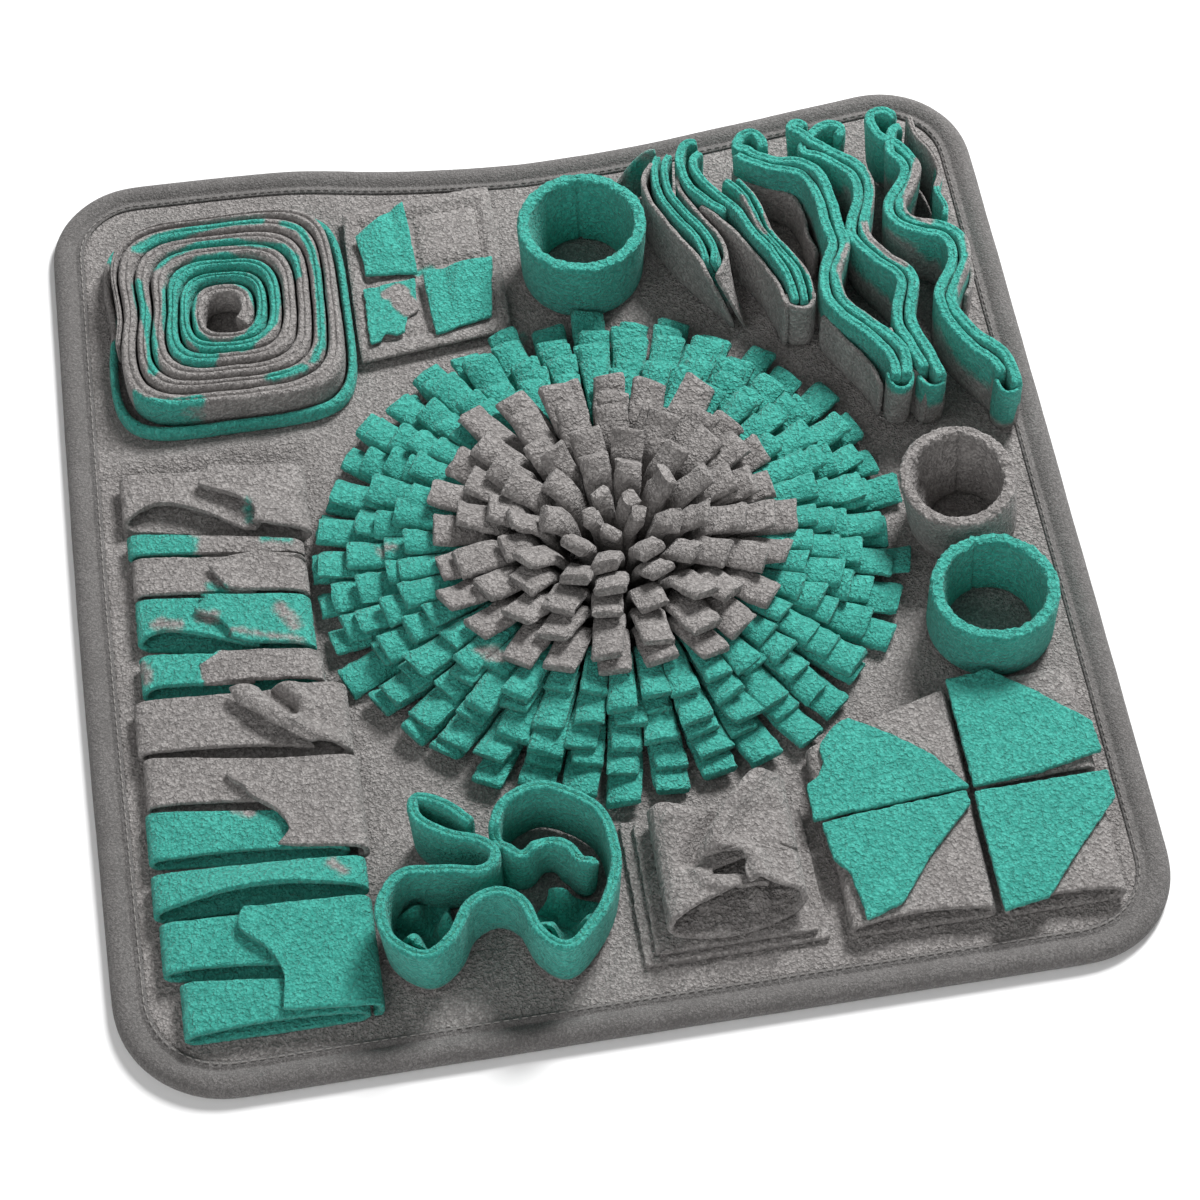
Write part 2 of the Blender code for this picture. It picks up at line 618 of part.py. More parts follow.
def make_wide_tab(tab):
    """A wide strip sewn down at its right, folded up and over the loops beside it."""
    foot = SEAT + FLEECE / 2
    middle = tab.right - FLEECE / 2

    def shape(u, v):
        section = [(middle - 3.6, foot), (middle - 0.8, foot + 0.8), (middle, mix(foot, TAB_TOP, 0.45)),
                   (middle - 1.0, TAB_TOP - 1.6), (middle - 6.0, TAB_TOP), (along(tab.cut, v), TAB_TOP)]
        x, height = section[round(u * 5)]
        share = (x - tab.cut[0]) / (tab.right - tab.cut[0])
        return Vector((x, mix(mix(*tab.back, share), mix(*tab.front, share), v), height))

    cloth(tab.name, shape, 5, 4, tab.colour, FLEECE)


def make_left_column():
    for row in OPEN_LOOPS:
        make_open_loop(row, SEAT, (LOOP_TOP, TAB_TOP))
    for row in CLOSED_LOOPS:
        make_closed_loop(row, LOOP_TOP)
    for tab in WIDE_TABS:
        make_wide_tab(tab)


def make_envelope():
    step = FLEECE + SEAT_GAP
    cut_piece("envelope_base_lower", ENVELOPE_LOWER, SEAT, FLEECE, "grey")
    cut_piece("envelope_base_upper", ENVELOPE_UPPER, SEAT + step, FLEECE, "grey")
    make_open_loop(SLEEVE, SEAT + 2 * step, SLEEVE_LAYERS, SLEEVE_SAG, depth=4)


def make_pockets():
    for row in POCKETS:
        make_closed_loop(row, POCKET_TOP)
    for name, outline in FLAP_OUTLINES.items():
        cut_piece(name, outline, POCKET_TOP + FLEECE / 2 + SEAT_GAP, FLEECE, "teal")


# ---------- clover ----------

def make_clover():
    path = smooth_path(CLOVER_BENDS, CLOVER_STEPS)

    def wall(u, v):
        middle = Vector(CLOVER_MIDDLE)
        place = middle + (path[round(u * CLOVER_STEPS)] - middle) * mix(CLOVER_FOOT, 1.0, v)
        return Vector((place.x, place.y, mix(SEAT + SEAT_GAP, CLOVER_TOP, v)))

    cloth("clover_wall", wall, CLOVER_STEPS, 1, "teal", CLOVER_WALL, even=False)


def make_scrap(scrap):
    """A crumpled bit of fleece that lies in a cell of the clover."""
    turn = math.radians(scrap.turn)

    def shape(u, v):
        x = scrap.half_x * (2 * u - 1)
        y = scrap.half_y * (2 * v - 1)
        height = SEAT + 1.3 + 5.0 * math.sin(math.pi * u) ** 2 + 3.0 * math.sin(math.pi * v) ** 2
        return Vector((scrap.x + x * math.cos(turn) - y * math.sin(turn),
                       scrap.y + x * math.sin(turn) + y * math.cos(turn), height))

    cloth(scrap.name, shape, 4, 4, "teal", 2.4)


# ---------- the mat ----------

def make_mat():
    draw = random.Random(SEED)
    make_panel()
    make_rim()
    make_coil()
    make_patch()
    for cup in CUPS:
        make_cup(cup)
    for name, bends in RUFFLES.items():
        make_ruffle(name, bends, RUFFLE_STEPS[name], RUFFLE_TOE if name == "ruffle_1" else (0.0, 0.0))
    make_edge_ruffle()
    for tier in TIERS:
        make_tier(tier, draw)
    make_left_column()
    make_envelope()
    make_pockets()
    make_clover()
    for scrap in SCRAPS:
        make_scrap(scrap)


clear_scene()
MAT = new_collection("snuffle_mat")
FLEECES = {name: fleece_material(name, colour) for name, colour in COLOURS.items()}
make_mat()
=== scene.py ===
import math
import random

import bpy
from mathutils import Matrix, Vector, noise
from mathutils.geometry import delaunay_2d_cdt


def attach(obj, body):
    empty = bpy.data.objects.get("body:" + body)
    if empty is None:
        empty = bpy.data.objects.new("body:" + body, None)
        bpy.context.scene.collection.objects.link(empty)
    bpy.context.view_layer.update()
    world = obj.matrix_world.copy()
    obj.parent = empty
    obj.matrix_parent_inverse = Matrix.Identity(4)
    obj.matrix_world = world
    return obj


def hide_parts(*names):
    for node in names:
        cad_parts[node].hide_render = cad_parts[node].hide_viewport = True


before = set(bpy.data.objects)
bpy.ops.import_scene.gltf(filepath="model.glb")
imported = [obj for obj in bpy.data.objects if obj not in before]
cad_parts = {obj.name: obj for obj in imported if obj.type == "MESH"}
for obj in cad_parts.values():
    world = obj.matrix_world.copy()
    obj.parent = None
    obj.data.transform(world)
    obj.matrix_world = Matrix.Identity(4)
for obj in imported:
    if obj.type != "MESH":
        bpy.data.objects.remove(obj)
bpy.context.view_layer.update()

# Snuffle mat in fleece. The tables are millimetres seen from above: x right, y to the far edge, z up.
mm = 0.001
seat = 5.3      # underside of whatever is sewn to the panel
gap = 0.3       # room between two layers


def mix(a, b, t):
    return a + (b - a) * t


def ease(t):
    t = max(0.0, min(1.0, t))
    return t * t * (3 - 2 * t)


def bump(x, middle, spread):
    return math.exp(-((x - middle) / spread) ** 2)


def along(values, t):
    place = max(0.0, min(1.0, t)) * (len(values) - 1)
    first = min(int(place), len(values) - 2)
    return values[first] + (values[first + 1] - values[first]) * (place - first)


def wobble(x, y, z, size, seed=0):      # soft unevenness, about -1 to 1
    return noise.noise(Vector((x / size + 17.3 * seed, y / size - 9.1 * seed, z / size + 3.7 * seed)))


def curvePath(bends, count, closed=False):      # even points on a smooth curve through the bends
    knots = [Vector(bend) for bend in bends]
    if closed:
        knots = [knots[-1]] + knots + knots[:2]
    else:
        knots = [2 * knots[0] - knots[1]] + knots + [2 * knots[-1] - knots[-2]]
    fine = []
    for a, b, c, d in zip(knots, knots[1:], knots[2:], knots[3:]):
        for step in range(16):
            t = step / 16
            fine.append(0.5 * (2 * b + (c - a) * t + (2 * a - 5 * b + 4 * c - d) * t ** 2
                               + (3 * b - a - 3 * c + d) * t ** 3))
    fine.append(knots[-2].copy())
    return evenPath(fine, count)


def evenPath(path, count):
    runs = [(b - a).length for a, b in zip(path, path[1:])]
    step = sum(runs) / count
    points, walked = [path[0].copy()], 0.0
    for start, end, run in zip(path, path[1:], runs):
        while run > 0 and len(points) < count and walked + run >= step * len(points):
            points.append(start.lerp(end, (step * len(points) - walked) / run))
        walked += run
    points.append(path[-1].copy())
    return points


def pathLength(path):
    return sum((b - a).length for a, b in zip(path, path[1:]))


def sideways(path, closed=False):       # unit normals in plan, to the right of the run
    last = len(path) - 1
    normals = []
    for index in range(len(path)):
        before = path[index - 1] if index or closed else path[0]
        after = path[(index + 1) % len(path)] if index < last or closed else path[last]
        run = Vector((after.x - before.x, after.y - before.y)).normalized()
        normals.append(Vector((run.y, -run.x)))
    return normals


def lineGap(points, x, y):      # how far a place lies from a line
    best = 1e9
    for (ax, ay), (bx, by) in zip(points, points[1:]):
        t = ((x - ax) * (bx - ax) + (y - ay) * (by - ay)) / ((bx - ax) ** 2 + (by - ay) ** 2)
        t = max(0.0, min(1.0, t))
        best = min(best, math.hypot(x - mix(ax, bx, t), y - mix(ay, by, t)))
    return best


def strokeShare(strokes, x, y, blur=2.0):       # 1 on a painted stroke, 0 off it
    return max([ease((half + blur / 2 - lineGap(points, x, y)) / blur) for half, points in strokes], default=0.0)


def pickOnly(piece):
    bpy.ops.object.select_all(action="DESELECT")
    piece.select_set(True)
    bpy.context.view_layer.objects.active = piece


def applyStep(piece, kind, **settings):
    pickOnly(piece)
    step = piece.modifiers.new(kind.lower(), kind)
    for key, value in settings.items():
        setattr(step, key, value)
    bpy.ops.object.modifier_apply(modifier=step.name)


def layGrid(name, columns, rows, place):        # a flat grid, each crossing put where place(column, row) says
    bpy.ops.object.select_all(action="DESELECT")
    bpy.ops.mesh.primitive_grid_add(x_subdivisions=columns, y_subdivisions=rows, size=1.0)
    piece = bpy.context.object
    piece.name = piece.data.name = name
    for vert in piece.data.vertices:
        column, row = round((vert.co.x + 0.5) * columns), round((vert.co.y + 0.5) * rows)
        vert.co = Vector(place(column, row)) * mm
    return piece


def sewShut(piece, ends=False):         # join what meets, close the ends, faces outwards
    pickOnly(piece)
    bpy.ops.object.mode_set(mode="EDIT")
    bpy.ops.mesh.select_all(action="SELECT")
    bpy.ops.mesh.remove_doubles(threshold=0.00001)
    if ends:
        bpy.ops.mesh.fill_holes(sides=0)
        bpy.ops.mesh.select_all(action="SELECT")
        bpy.ops.mesh.normals_make_consistent(inside=False)
    bpy.ops.object.mode_set(mode="OBJECT")


def joinAll(pieces):
    bpy.ops.object.select_all(action="DESELECT")
    for piece in pieces:
        piece.select_set(True)
    bpy.context.view_layer.objects.active = pieces[0]
    bpy.ops.object.join()
    return pieces[0]


def fromLists(name, points, faces):
    mesh = bpy.data.meshes.new(name)
    mesh.from_pydata([[c * mm for c in point] for point in points], [], faces)
    mesh.update()
    piece = bpy.data.objects.new(name, mesh)
    bpy.context.scene.collection.objects.link(piece)
    return piece


def spaced(count, edge):        # even shares with one line held close to each end
    if not edge:
        return [step / count for step in range(count + 1)]
    return [0.0] + [edge + (1 - 2 * edge) * step / (count - 2) for step in range(count - 1)] + [1.0]


nubs = bpy.data.textures.new("fleece nubs", "CLOUDS")
nubs.noise_scale = 0.0026
nubs.noise_depth = 1


def soften(piece, thick=0.0, rounds=1, fuzz=0.35, offset=0.0):      # thickness, rounded edges, a little nap
    if thick:
        applyStep(piece, "SOLIDIFY", thickness=thick * mm, offset=offset, use_even_offset=False)
    if rounds:
        applyStep(piece, "SUBSURF", levels=rounds, render_levels=rounds)
    if fuzz:
        applyStep(piece, "DISPLACE", texture=nubs, texture_coords="LOCAL", strength=fuzz * mm, mid_level=0.5)
    pickOnly(piece)
    bpy.ops.object.shade_smooth()
    return piece


def paintTint(piece, share=lambda x, y, z: 0.0):        # 0 is the piece's own colour, 1 the other fleece
    layer = piece.data.attributes.get("tint") or piece.data.attributes.new("tint", "FLOAT", "POINT")
    layer.data.foreach_set("value", [share(v.co.x / mm, v.co.y / mm, v.co.z / mm) for v in piece.data.vertices])


def colourOf(row):
    return (tealLook, "fleece_teal") if row["teal"] else (greyLook, "fleece_grey")


def fit(piece, look, slotName, *nodes):     # material, ride and the solids it stands for; slotName is not used
    piece.data.materials.clear()
    piece.data.materials.append(look)
    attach(piece, "root")
    if nodes:
        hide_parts(*nodes)
    return piece


def cutGrid(place, columns, rows):     # measures a laid grid's runs across and along, as it was before it was folded; nothing is returned
    lines = [[Vector(place(c, r)) for c in range(columns + 1)] for r in range(rows + 1)]
    across = sum(pathLength(line) for line in lines) / len(lines)
    sum(pathLength(list(line)) for line in zip(*lines)) / (columns + 1)


def addNode(tree, kind, inputs=None, **settings):
    node = tree.nodes.new(kind)
    for key, value in settings.items():
        setattr(node, key, value)
    for key, value in (inputs or {}).items():
        if isinstance(value, bpy.types.NodeSocket):
            tree.links.new(value, node.inputs[key])
        else:
            node.inputs[key].default_value = value
    return node


def newLook(name, roughness, specular=0.5):
    look = bpy.data.materials.new(name)
    look.use_nodes = True
    shader = look.node_tree.nodes["Principled BSDF"]
    shader.inputs["Roughness"].default_value = roughness
    shader.inputs["Specular IOR Level"].default_value = specular
    return look, look.node_tree, shader


# millimetres: how far the pattern is pushed about, then lumps, curls, single hairs, pits and slow patches
pile = {"push": 1.6, "pushSize": 2.4, "lumps": 2.7, "curls": 1.3, "hairs": 0.6, "pits": 2.1, "patches": 20,
        "smear": 5, "relief": 1.2, "lumpTop": 1.047, "curlTop": 1.016, "roughness": 0.9, "sheen": 0.12}


def fleeceLook(name, own, other, nub=1.0, deep=1.0):
    # own and other are colour pairs (curl top, pit): a painted highlight colour and a painted shade colour; nub is
    # the size of the curls, deep how far they stand out
    look, tree, shader = newLook(name, pile["roughness"], 0.15)
    shader.inputs["Sheen Weight"].default_value = pile["sheen"]
    shader.inputs["Sheen Roughness"].default_value = 0.5

    def noiseAt(where, size, detail=2.0, rough=0.5):      # size of the pattern in millimetres
        return addNode(tree, "ShaderNodeTexNoise", {"Vector": where, "Scale": 1000.0 / size, "Detail": detail,
                                                    "Roughness": rough}).outputs

    def cellsAt(where, size):
        return addNode(tree, "ShaderNodeTexVoronoi", {"Vector": where, "Scale": 1000.0 / size}).outputs["Distance"]

    def sums(kind, a, b, c=0.0):
        return addNode(tree, "ShaderNodeMath", {0: a, 1: b, 2: c}, operation=kind).outputs[0]

    def ramp(value, low, high, start=0.0, end=1.0):
        return addNode(tree, "ShaderNodeMapRange", {"Value": value, "From Min": low, "From Max": high,
                                                    "To Min": start, "To Max": end},
                       interpolation_type="SMOOTHSTEP").outputs[0]

    spot = addNode(tree, "ShaderNodeTexCoord").outputs["Object"]
    push = addNode(tree, "ShaderNodeVectorMath", {0: noiseAt(spot, pile["pushSize"] * nub)[1],
                                                  1: (pile["push"] * mm * nub,) * 3, 2: spot},
                   operation="MULTIPLY_ADD").outputs[0]
    # small curls of pile, clumped, with a pit here and there
    lumps = sums("SUBTRACT", pile["lumpTop"], cellsAt(push, pile["lumps"] * nub))
    curls = sums("SUBTRACT", pile["curlTop"], cellsAt(push, pile["curls"] * nub))
    fine = noiseAt(spot, pile["hairs"], 3.0, 0.7)[0]
    pits = ramp(noiseAt(push, pile["pits"] * nub, 2.0, 0.6)[0], 0.36, 0.50)
    high = sums("MULTIPLY_ADD", lumps, 0.55, sums("MULTIPLY", curls, 0.6))
    high = sums("MULTIPLY_ADD", fine, 0.3, sums("MULTIPLY_ADD", pits, 0.45, high))
    raised = addNode(tree, "ShaderNodeBump", {"Height": high, "Strength": 1.0,
                                              "Distance": pile["relief"] * mm * deep})
    tree.links.new(raised.outputs[0], shader.inputs["Normal"])
    # painted highlight on the curl tops and painted shade in the pits, from the same relief that drives the bump,
    # with slow random patches of tone over both
    broad = noiseAt(spot, pile["patches"], 3.0, 0.6)[0]
    paintedLightAndPatches = sums("MULTIPLY_ADD", lumps, 0.3, sums("MULTIPLY", curls, 0.6))
    paintedLightAndPatches = sums("MULTIPLY_ADD", broad, 0.4, sums("MULTIPLY_ADD", fine, 0.35, paintedLightAndPatches))
    # multiplied down where a pit sinks: painted shade in the pits
    paintedLightAndPatches = sums("MULTIPLY", ramp(paintedLightAndPatches, 0.62, 1.2), ramp(pits, 0.0, 1.0, 0.35, 1.0))
    tint = addNode(tree, "ShaderNodeAttribute", attribute_name="tint").outputs["Fac"]
    edge = ramp(sums("MULTIPLY_ADD", noiseAt(spot, pile["smear"], 5.0, 0.75)[0], 1.2, tint), 0.78, 1.45)
    pair = []
    for curlHighlightColour, pitShadeColour in (own, other):
        shade = addNode(tree, "ShaderNodeMix", data_type="RGBA")
        tree.links.new(paintedLightAndPatches, shade.inputs[0])
        shade.inputs[6].default_value = (*pitShadeColour, 1.0)
        shade.inputs[7].default_value = (*curlHighlightColour, 1.0)
        pair.append(shade.outputs[2])
    both = addNode(tree, "ShaderNodeMix", data_type="RGBA")
    tree.links.new(edge, both.inputs[0])
    tree.links.new(pair[0], both.inputs[6])
    tree.links.new(pair[1], both.inputs[7])
    tree.links.new(both.outputs[2], shader.inputs["Base Color"])
    return look


# each pair: painted highlight colour on the curl tops, then painted shade colour in the pits
tealFleece = ((0.075, 0.455, 0.378), (0.036, 0.29, 0.238))       # curl tops, pits
greyFleece = ((0.39, 0.37, 0.36), (0.205, 0.192, 0.186))
panelGrey = ((0.40, 0.378, 0.368), (0.205, 0.193, 0.187))
tealLook = fleeceLook("teal fleece", tealFleece, greyFleece)
greyLook = fleeceLook("grey fleece", greyFleece, tealFleece)
panelLook = fleeceLook("panel fleece", panelGrey, tealFleece, nub=0.85)
bindingGrey = ((0.215, 0.206, 0.202), (0.115, 0.11, 0.107))
rimLook = fleeceLook("binding fleece", bindingGrey, tealFleece, nub=0.55, deep=0.35)


def threadLook(name, colour):
    look, tree, shader = newLook(name, 0.6)
    shader.inputs["Sheen Weight"].default_value = 0.15
    spot = addNode(tree, "ShaderNodeTexCoord").outputs["Object"]
    ply = addNode(tree, "ShaderNodeTexNoise", {"Vector": spot, "Scale": 2600.0, "Detail": 2.0})
    # the ply noise that raises the bump also darkens the low parts and lightens the high parts: random tone in the
    # thread, plus painted shade in the ply grooves and painted highlight on the ply tops
    shade = addNode(tree, "ShaderNodeMix", data_type="RGBA")
    tree.links.new(ply.outputs[0], shade.inputs[0])
    shade.inputs[6].default_value = (*[c * 0.55 for c in colour], 1.0)
    shade.inputs[7].default_value = (*[min(1.0, c * 1.35) for c in colour], 1.0)
    tree.links.new(shade.outputs[2], shader.inputs["Base Color"])
    raised = addNode(tree, "ShaderNodeBump", {"Height": ply.outputs[0], "Strength": 0.6, "Distance": 0.0003})
    tree.links.new(raised.outputs[0], shader.inputs["Normal"])
    return look


greyThread = threadLook("grey thread", (0.27, 0.255, 0.245))
tealThread = threadLook("teal thread", (0.04, 0.30, 0.22))


def stitchRow(name, path, look, slotName, length=2.6, thick=0.7, pitch=4.2):
    # small lozenges of thread along a path of 3-D points, in millimetres
    count = max(2, int(pathLength(path) / pitch))
    marks = evenPath(path, count)
    points, faces = [], []
    for a, b in zip(marks, marks[1:]):
        run = (b - a).normalized()
        side = Vector((run.y, -run.x, 0.0)).normalized() * thick / 2
        rise = Vector((0.0, 0.0, thick / 2))
        middle, half = (a + b) / 2, run * length / 2
        base = len(points)
        points.append(middle - half)
        for share in (-0.6, 0.6):
            points += [middle + half * share + side, middle + half * share + rise,
                       middle + half * share - side, middle + half * share - rise]
        points.append(middle + half)
        for k in range(4):
            n = (k + 1) % 4
            faces += [(base, base + 1 + n, base + 1 + k),
                      (base + 1 + k, base + 1 + n, base + 5 + n, base + 5 + k),
                      (base + 5 + k, base + 5 + n, base + 9)]
    piece = fromLists(name, points, faces)
    sewShut(piece, ends=True)
    return fit(piece, look, slotName)


def bothSides(half):        # a strip's section from its left half: across, up, drop from the top
    return half + [(-across, up, drop) for across, up, drop in half[-2::-1]]


stripEdge = bothSides([(-1, 0, 0), (-1, 0.35, 0), (-1, 0.7, 0), (-1, 1, 2.4), (-0.9, 1, 0.7),
                       (-0.55, 1, 0), (-0.2, 1, 0.15), (0, 1, 1)])


def standStrip(name, tops, feet, sides, half, closed=False, edge=None, uneven=0.4, seed=0):
    # tops and feet are points along the strip, sides its normals, half its thickness
    section = edge or stripEdge
    columns = len(tops) if closed else len(tops) - 1
    rows = len(section)
    halves = half if isinstance(half, list) else [half] * len(tops)

    def place(column, row):
        here = column % len(tops)
        across, up, drop = section[row % rows]
        top, foot, side = tops[here], feet[here], sides[here]
        point = foot.lerp(top, up)
        point = Vector((point.x + side.x * across * halves[here], point.y + side.y * across * halves[here],
                        point.z - drop))
        lean = uneven * up * wobble(top.x, top.y, 12 * up, 14.0, seed)
        return point + Vector((side.x * lean, side.y * lean, 0.7 * lean))

    piece = layGrid(name, columns, rows, place)
    sewShut(piece, ends=True)
    return piece


def inside(x, y, outline):
    hit = False
    for (ax, ay), (bx, by) in zip(outline, outline[1:] + outline[:1]):
        if (ay > y) != (by > y) and x < (bx - ax) * (y - ay) / (by - ay) + ax:
            hit = not hit
    return hit


def cutCloth(name, outline, height, pitch, ragged, seed):
    # height(x, y) is the middle of the cloth; a line of points just inside keeps the cut edge square
    border = []
    for (ax, ay), (bx, by) in zip(outline, outline[1:] + outline[:1]):
        steps = max(1, round(math.hypot(bx - ax, by - ay) / 2.0))
        border += [(mix(ax, bx, k / steps), mix(ay, by, k / steps)) for k in range(steps)]
    border = [(x + ragged * wobble(x, y, 0, 2.3, seed), y + ragged * wobble(y, x, 5, 2.3, seed)) for x, y in border]
    turns = sideways([Vector(p) for p in border], closed=True)
    area = sum(a[0] * b[1] - a[1] * b[0] for a, b in zip(border, border[1:] + border[:1])) / 2
    inward = -1.0 if area > 0 else 1.0

    def clear(x, y, least):
        return all((x - p) ** 2 + (y - q) ** 2 > least * least for p, q in border)

    points = list(border)
    for (x, y), turn in zip(border, turns):
        nx, ny = x + inward * turn.x * 1.1, y + inward * turn.y * 1.1
        if inside(nx, ny, border) and clear(nx, ny, 0.9):
            points.append((nx, ny))
    lowX, highX = min(p[0] for p in border), max(p[0] for p in border)
    lowY, highY = min(p[1] for p in border), max(p[1] for p in border)
    y, odd = lowY + pitch / 2, 0
    while y < highY:
        x = lowX + pitch * (0.25 + 0.5 * odd)
        while x < highX:
            if inside(x, y, border) and clear(x, y, 2.4):
                points.append((x, y))
            x += pitch
        y += pitch * 0.87
        odd = 1 - odd
    loop = [(k, (k + 1) % len(border)) for k in range(len(border))]
    flat, _, faces, _, _, _ = delaunay_2d_cdt([Vector(p) for p in points], loop, [], 1, 1e-4)
    piece = fromLists(name, [(p.x, p.y, height(p.x, p.y)) for p in flat], faces)
    return piece, (highX - lowX, highY - lowY, abs(area))


mat = {"corners": [(227, -244, 45, -90), (227, 245.5, 45, 0),         # x, y, radius, first angle
                   (-226, 247.5, 42, 90), (-225, -247.5, 50, 180)],
       "farEdge": [(111, 237), (60, 231.5), (3, 230), (-55, 235.5), (-110, 244.8)],
       "leftEdge": [(-227, 60), (-227, -40)],
       "panelTop": 5, "panelInset": 12.3, "panelCut": (430, 471), "panelArea": 198000,
       "stitchInset": 13.7, "stitchHeight": 6.8}
rimSection = [(0.9, 0), (0.25, 1.5), (0, 3.4), (0.6, 5.4), (2.2, 7.2), (4.6, 8.2), (7, 8.1), (9.2, 7),
              (10.5, 5.9), (11.2, 5.45), (11.9, 5.9), (12.8, 6.35), (13.9, 6.4), (14.8, 6.1), (15.2, 5.5),
              (14.6, 5.1), (12.6, 5.1), (12.1, 2.6), (12, 0), (6, 0)]     # inset from the edge, height


def matOutline(inset, count):      # even points on the mat's outline, drawn in by inset
    arcs = []
    for x, y, radius, start in mat["corners"]:
        centre = Vector((x - math.copysign(radius, x), y - math.copysign(radius, y)))
        turns = [math.radians(start + 90.0 * step / 18) for step in range(19)]
        arcs.append([centre + radius * Vector((math.cos(turn), math.sin(turn))) for turn in turns])
    edge = []
    for arc, after, bends in zip(arcs, arcs[1:] + arcs[:1], ([], mat["farEdge"], mat["leftEdge"], [])):
        edge += arc
        if bends:
            edge += curvePath([arc[-1]] + [Vector(bend) for bend in bends] + [after[0]], 60)[1:-1]
    even = evenPath(edge + edge[:1], count)[:-1]
    return [point - side * inset for point, side in zip(even, sideways(even, closed=True))]


def panelRelief(x, y):
    seam = ease((-105 - x) / 14) * ease((x + 224) / 8)
    fold = seam * (3.6 * bump(y, 76.5 + 2.5 * wobble(x, 0, 0, 40, 3), 4.6) - 0.8 * bump(y, 69.5, 3.0))
    fold += seam * 1.1 * bump(y, 84.0, 3.0)
    near = ease((min(227 - x, x + 227, 230 - y, y + 245) - 14) / 6)
    return fold + near * (0.55 * wobble(x, y, 0, 11, 1) + 0.3 * wobble(x, y, 0, 4.5, 2))


def makePanel():
    half = 52
    ring = matOutline(mat["panelInset"], 8 * half)
    # the corner of the grid goes to the middle of each rounded corner
    starts = []
    for cornerX, cornerY in ((-1, -1), (1, -1), (1, 1), (-1, 1)):
        target = Vector((cornerX * 300, cornerY * 310))
        starts.append(min(range(len(ring)), key=lambda k: (ring[k] - target).length))
    centre = Vector((0.0, -3.0))

    def edgePoint(turn):
        side = int(turn) % 4
        first, last = starts[side], starts[(side + 1) % 4]
        if last < first:
            last += len(ring)
        spot = mix(first, last, turn - int(turn))
        low = int(math.floor(spot))
        return ring[low % len(ring)].lerp(ring[(low + 1) % len(ring)], spot - low)

    def place(column, row):
        s, t = column / half - 1, row / half - 1
        reach = max(abs(s), abs(t))
        if reach < 1e-6:
            point = centre
        else:
            a, b = s / reach, t / reach
            if b <= -1 + 1e-9:
                turn = (a + 1) / 2
            elif a >= 1 - 1e-9:
                turn = 1 + (b + 1) / 2
            elif b >= 1 - 1e-9:
                turn = 2 + (1 - a) / 2
            else:
                turn = 3 + (1 - b) / 2
            point = centre.lerp(edgePoint(min(turn, 3.99999)), reach)
        return point.x, point.y, mat["panelTop"] + panelRelief(point.x, point.y) * (1 if reach < 0.999 else 0)

    panel = layGrid("panel", 2 * half, 2 * half, place)
    pickOnly(panel)
    bpy.ops.object.mode_set(mode="EDIT")
    bpy.ops.mesh.select_all(action="DESELECT")
    bpy.ops.mesh.select_mode(type="EDGE")
    bpy.ops.mesh.select_non_manifold()
    bpy.ops.mesh.extrude_region_move(TRANSFORM_OT_translate={"value": (0, 0, -mat["panelTop"] * mm)})
    bpy.ops.mesh.edge_face_add()
    bpy.ops.mesh.select_mode(type="VERT")
    bpy.ops.mesh.select_all(action="SELECT")
    bpy.ops.mesh.normals_make_consistent(inside=False)
    bpy.ops.object.mode_set(mode="OBJECT")
    soften(panel, rounds=0, fuzz=0.0)
    smears = [(7.0, [(58, 208), (72, 214)]), (4.0, [(-14, 116), (-8, 122)])]
    paintTint(panel, lambda x, y, z: 0.55 * strokeShare(smears, x, y, 5.0) if z > 4 else 0.0)
    fit(panel, panelLook, "panel_grey", "base_panel")


def makeRim():
    count = 264
    rings = [(matOutline(inset, count), height) for inset, height in rimSection]

    def place(column, row):
        ring, height = rings[row % len(rings)]
        point = ring[column % count]
        uneven = 0.35 * wobble(point.x, point.y, height, 22, 4) if height > 1 else 0.0
        return point.x + uneven * 0.5, point.y + uneven * 0.5, max(0.0, height + uneven * 0.5)

    rim = layGrid("padded_rim", count, len(rings), place)
    sewShut(rim, ends=True)
    soften(rim, rounds=1, fuzz=0.12)
    for vert in rim.data.vertices:
        vert.co.z = max(vert.co.z, 0.0)
    fit(rim, rimLook, "panel_grey", "edge_binding")
    path = matOutline(mat["stitchInset"], 420)
    stitchRow("rim_stitches", [Vector((p.x, p.y, mat["stitchHeight"])) for p in path + path[:1]], greyThread,
              "panel_grey", length=2.9, thick=0.6, pitch=3.9)


makePanel()
makeRim()
print("panel and rim laid")

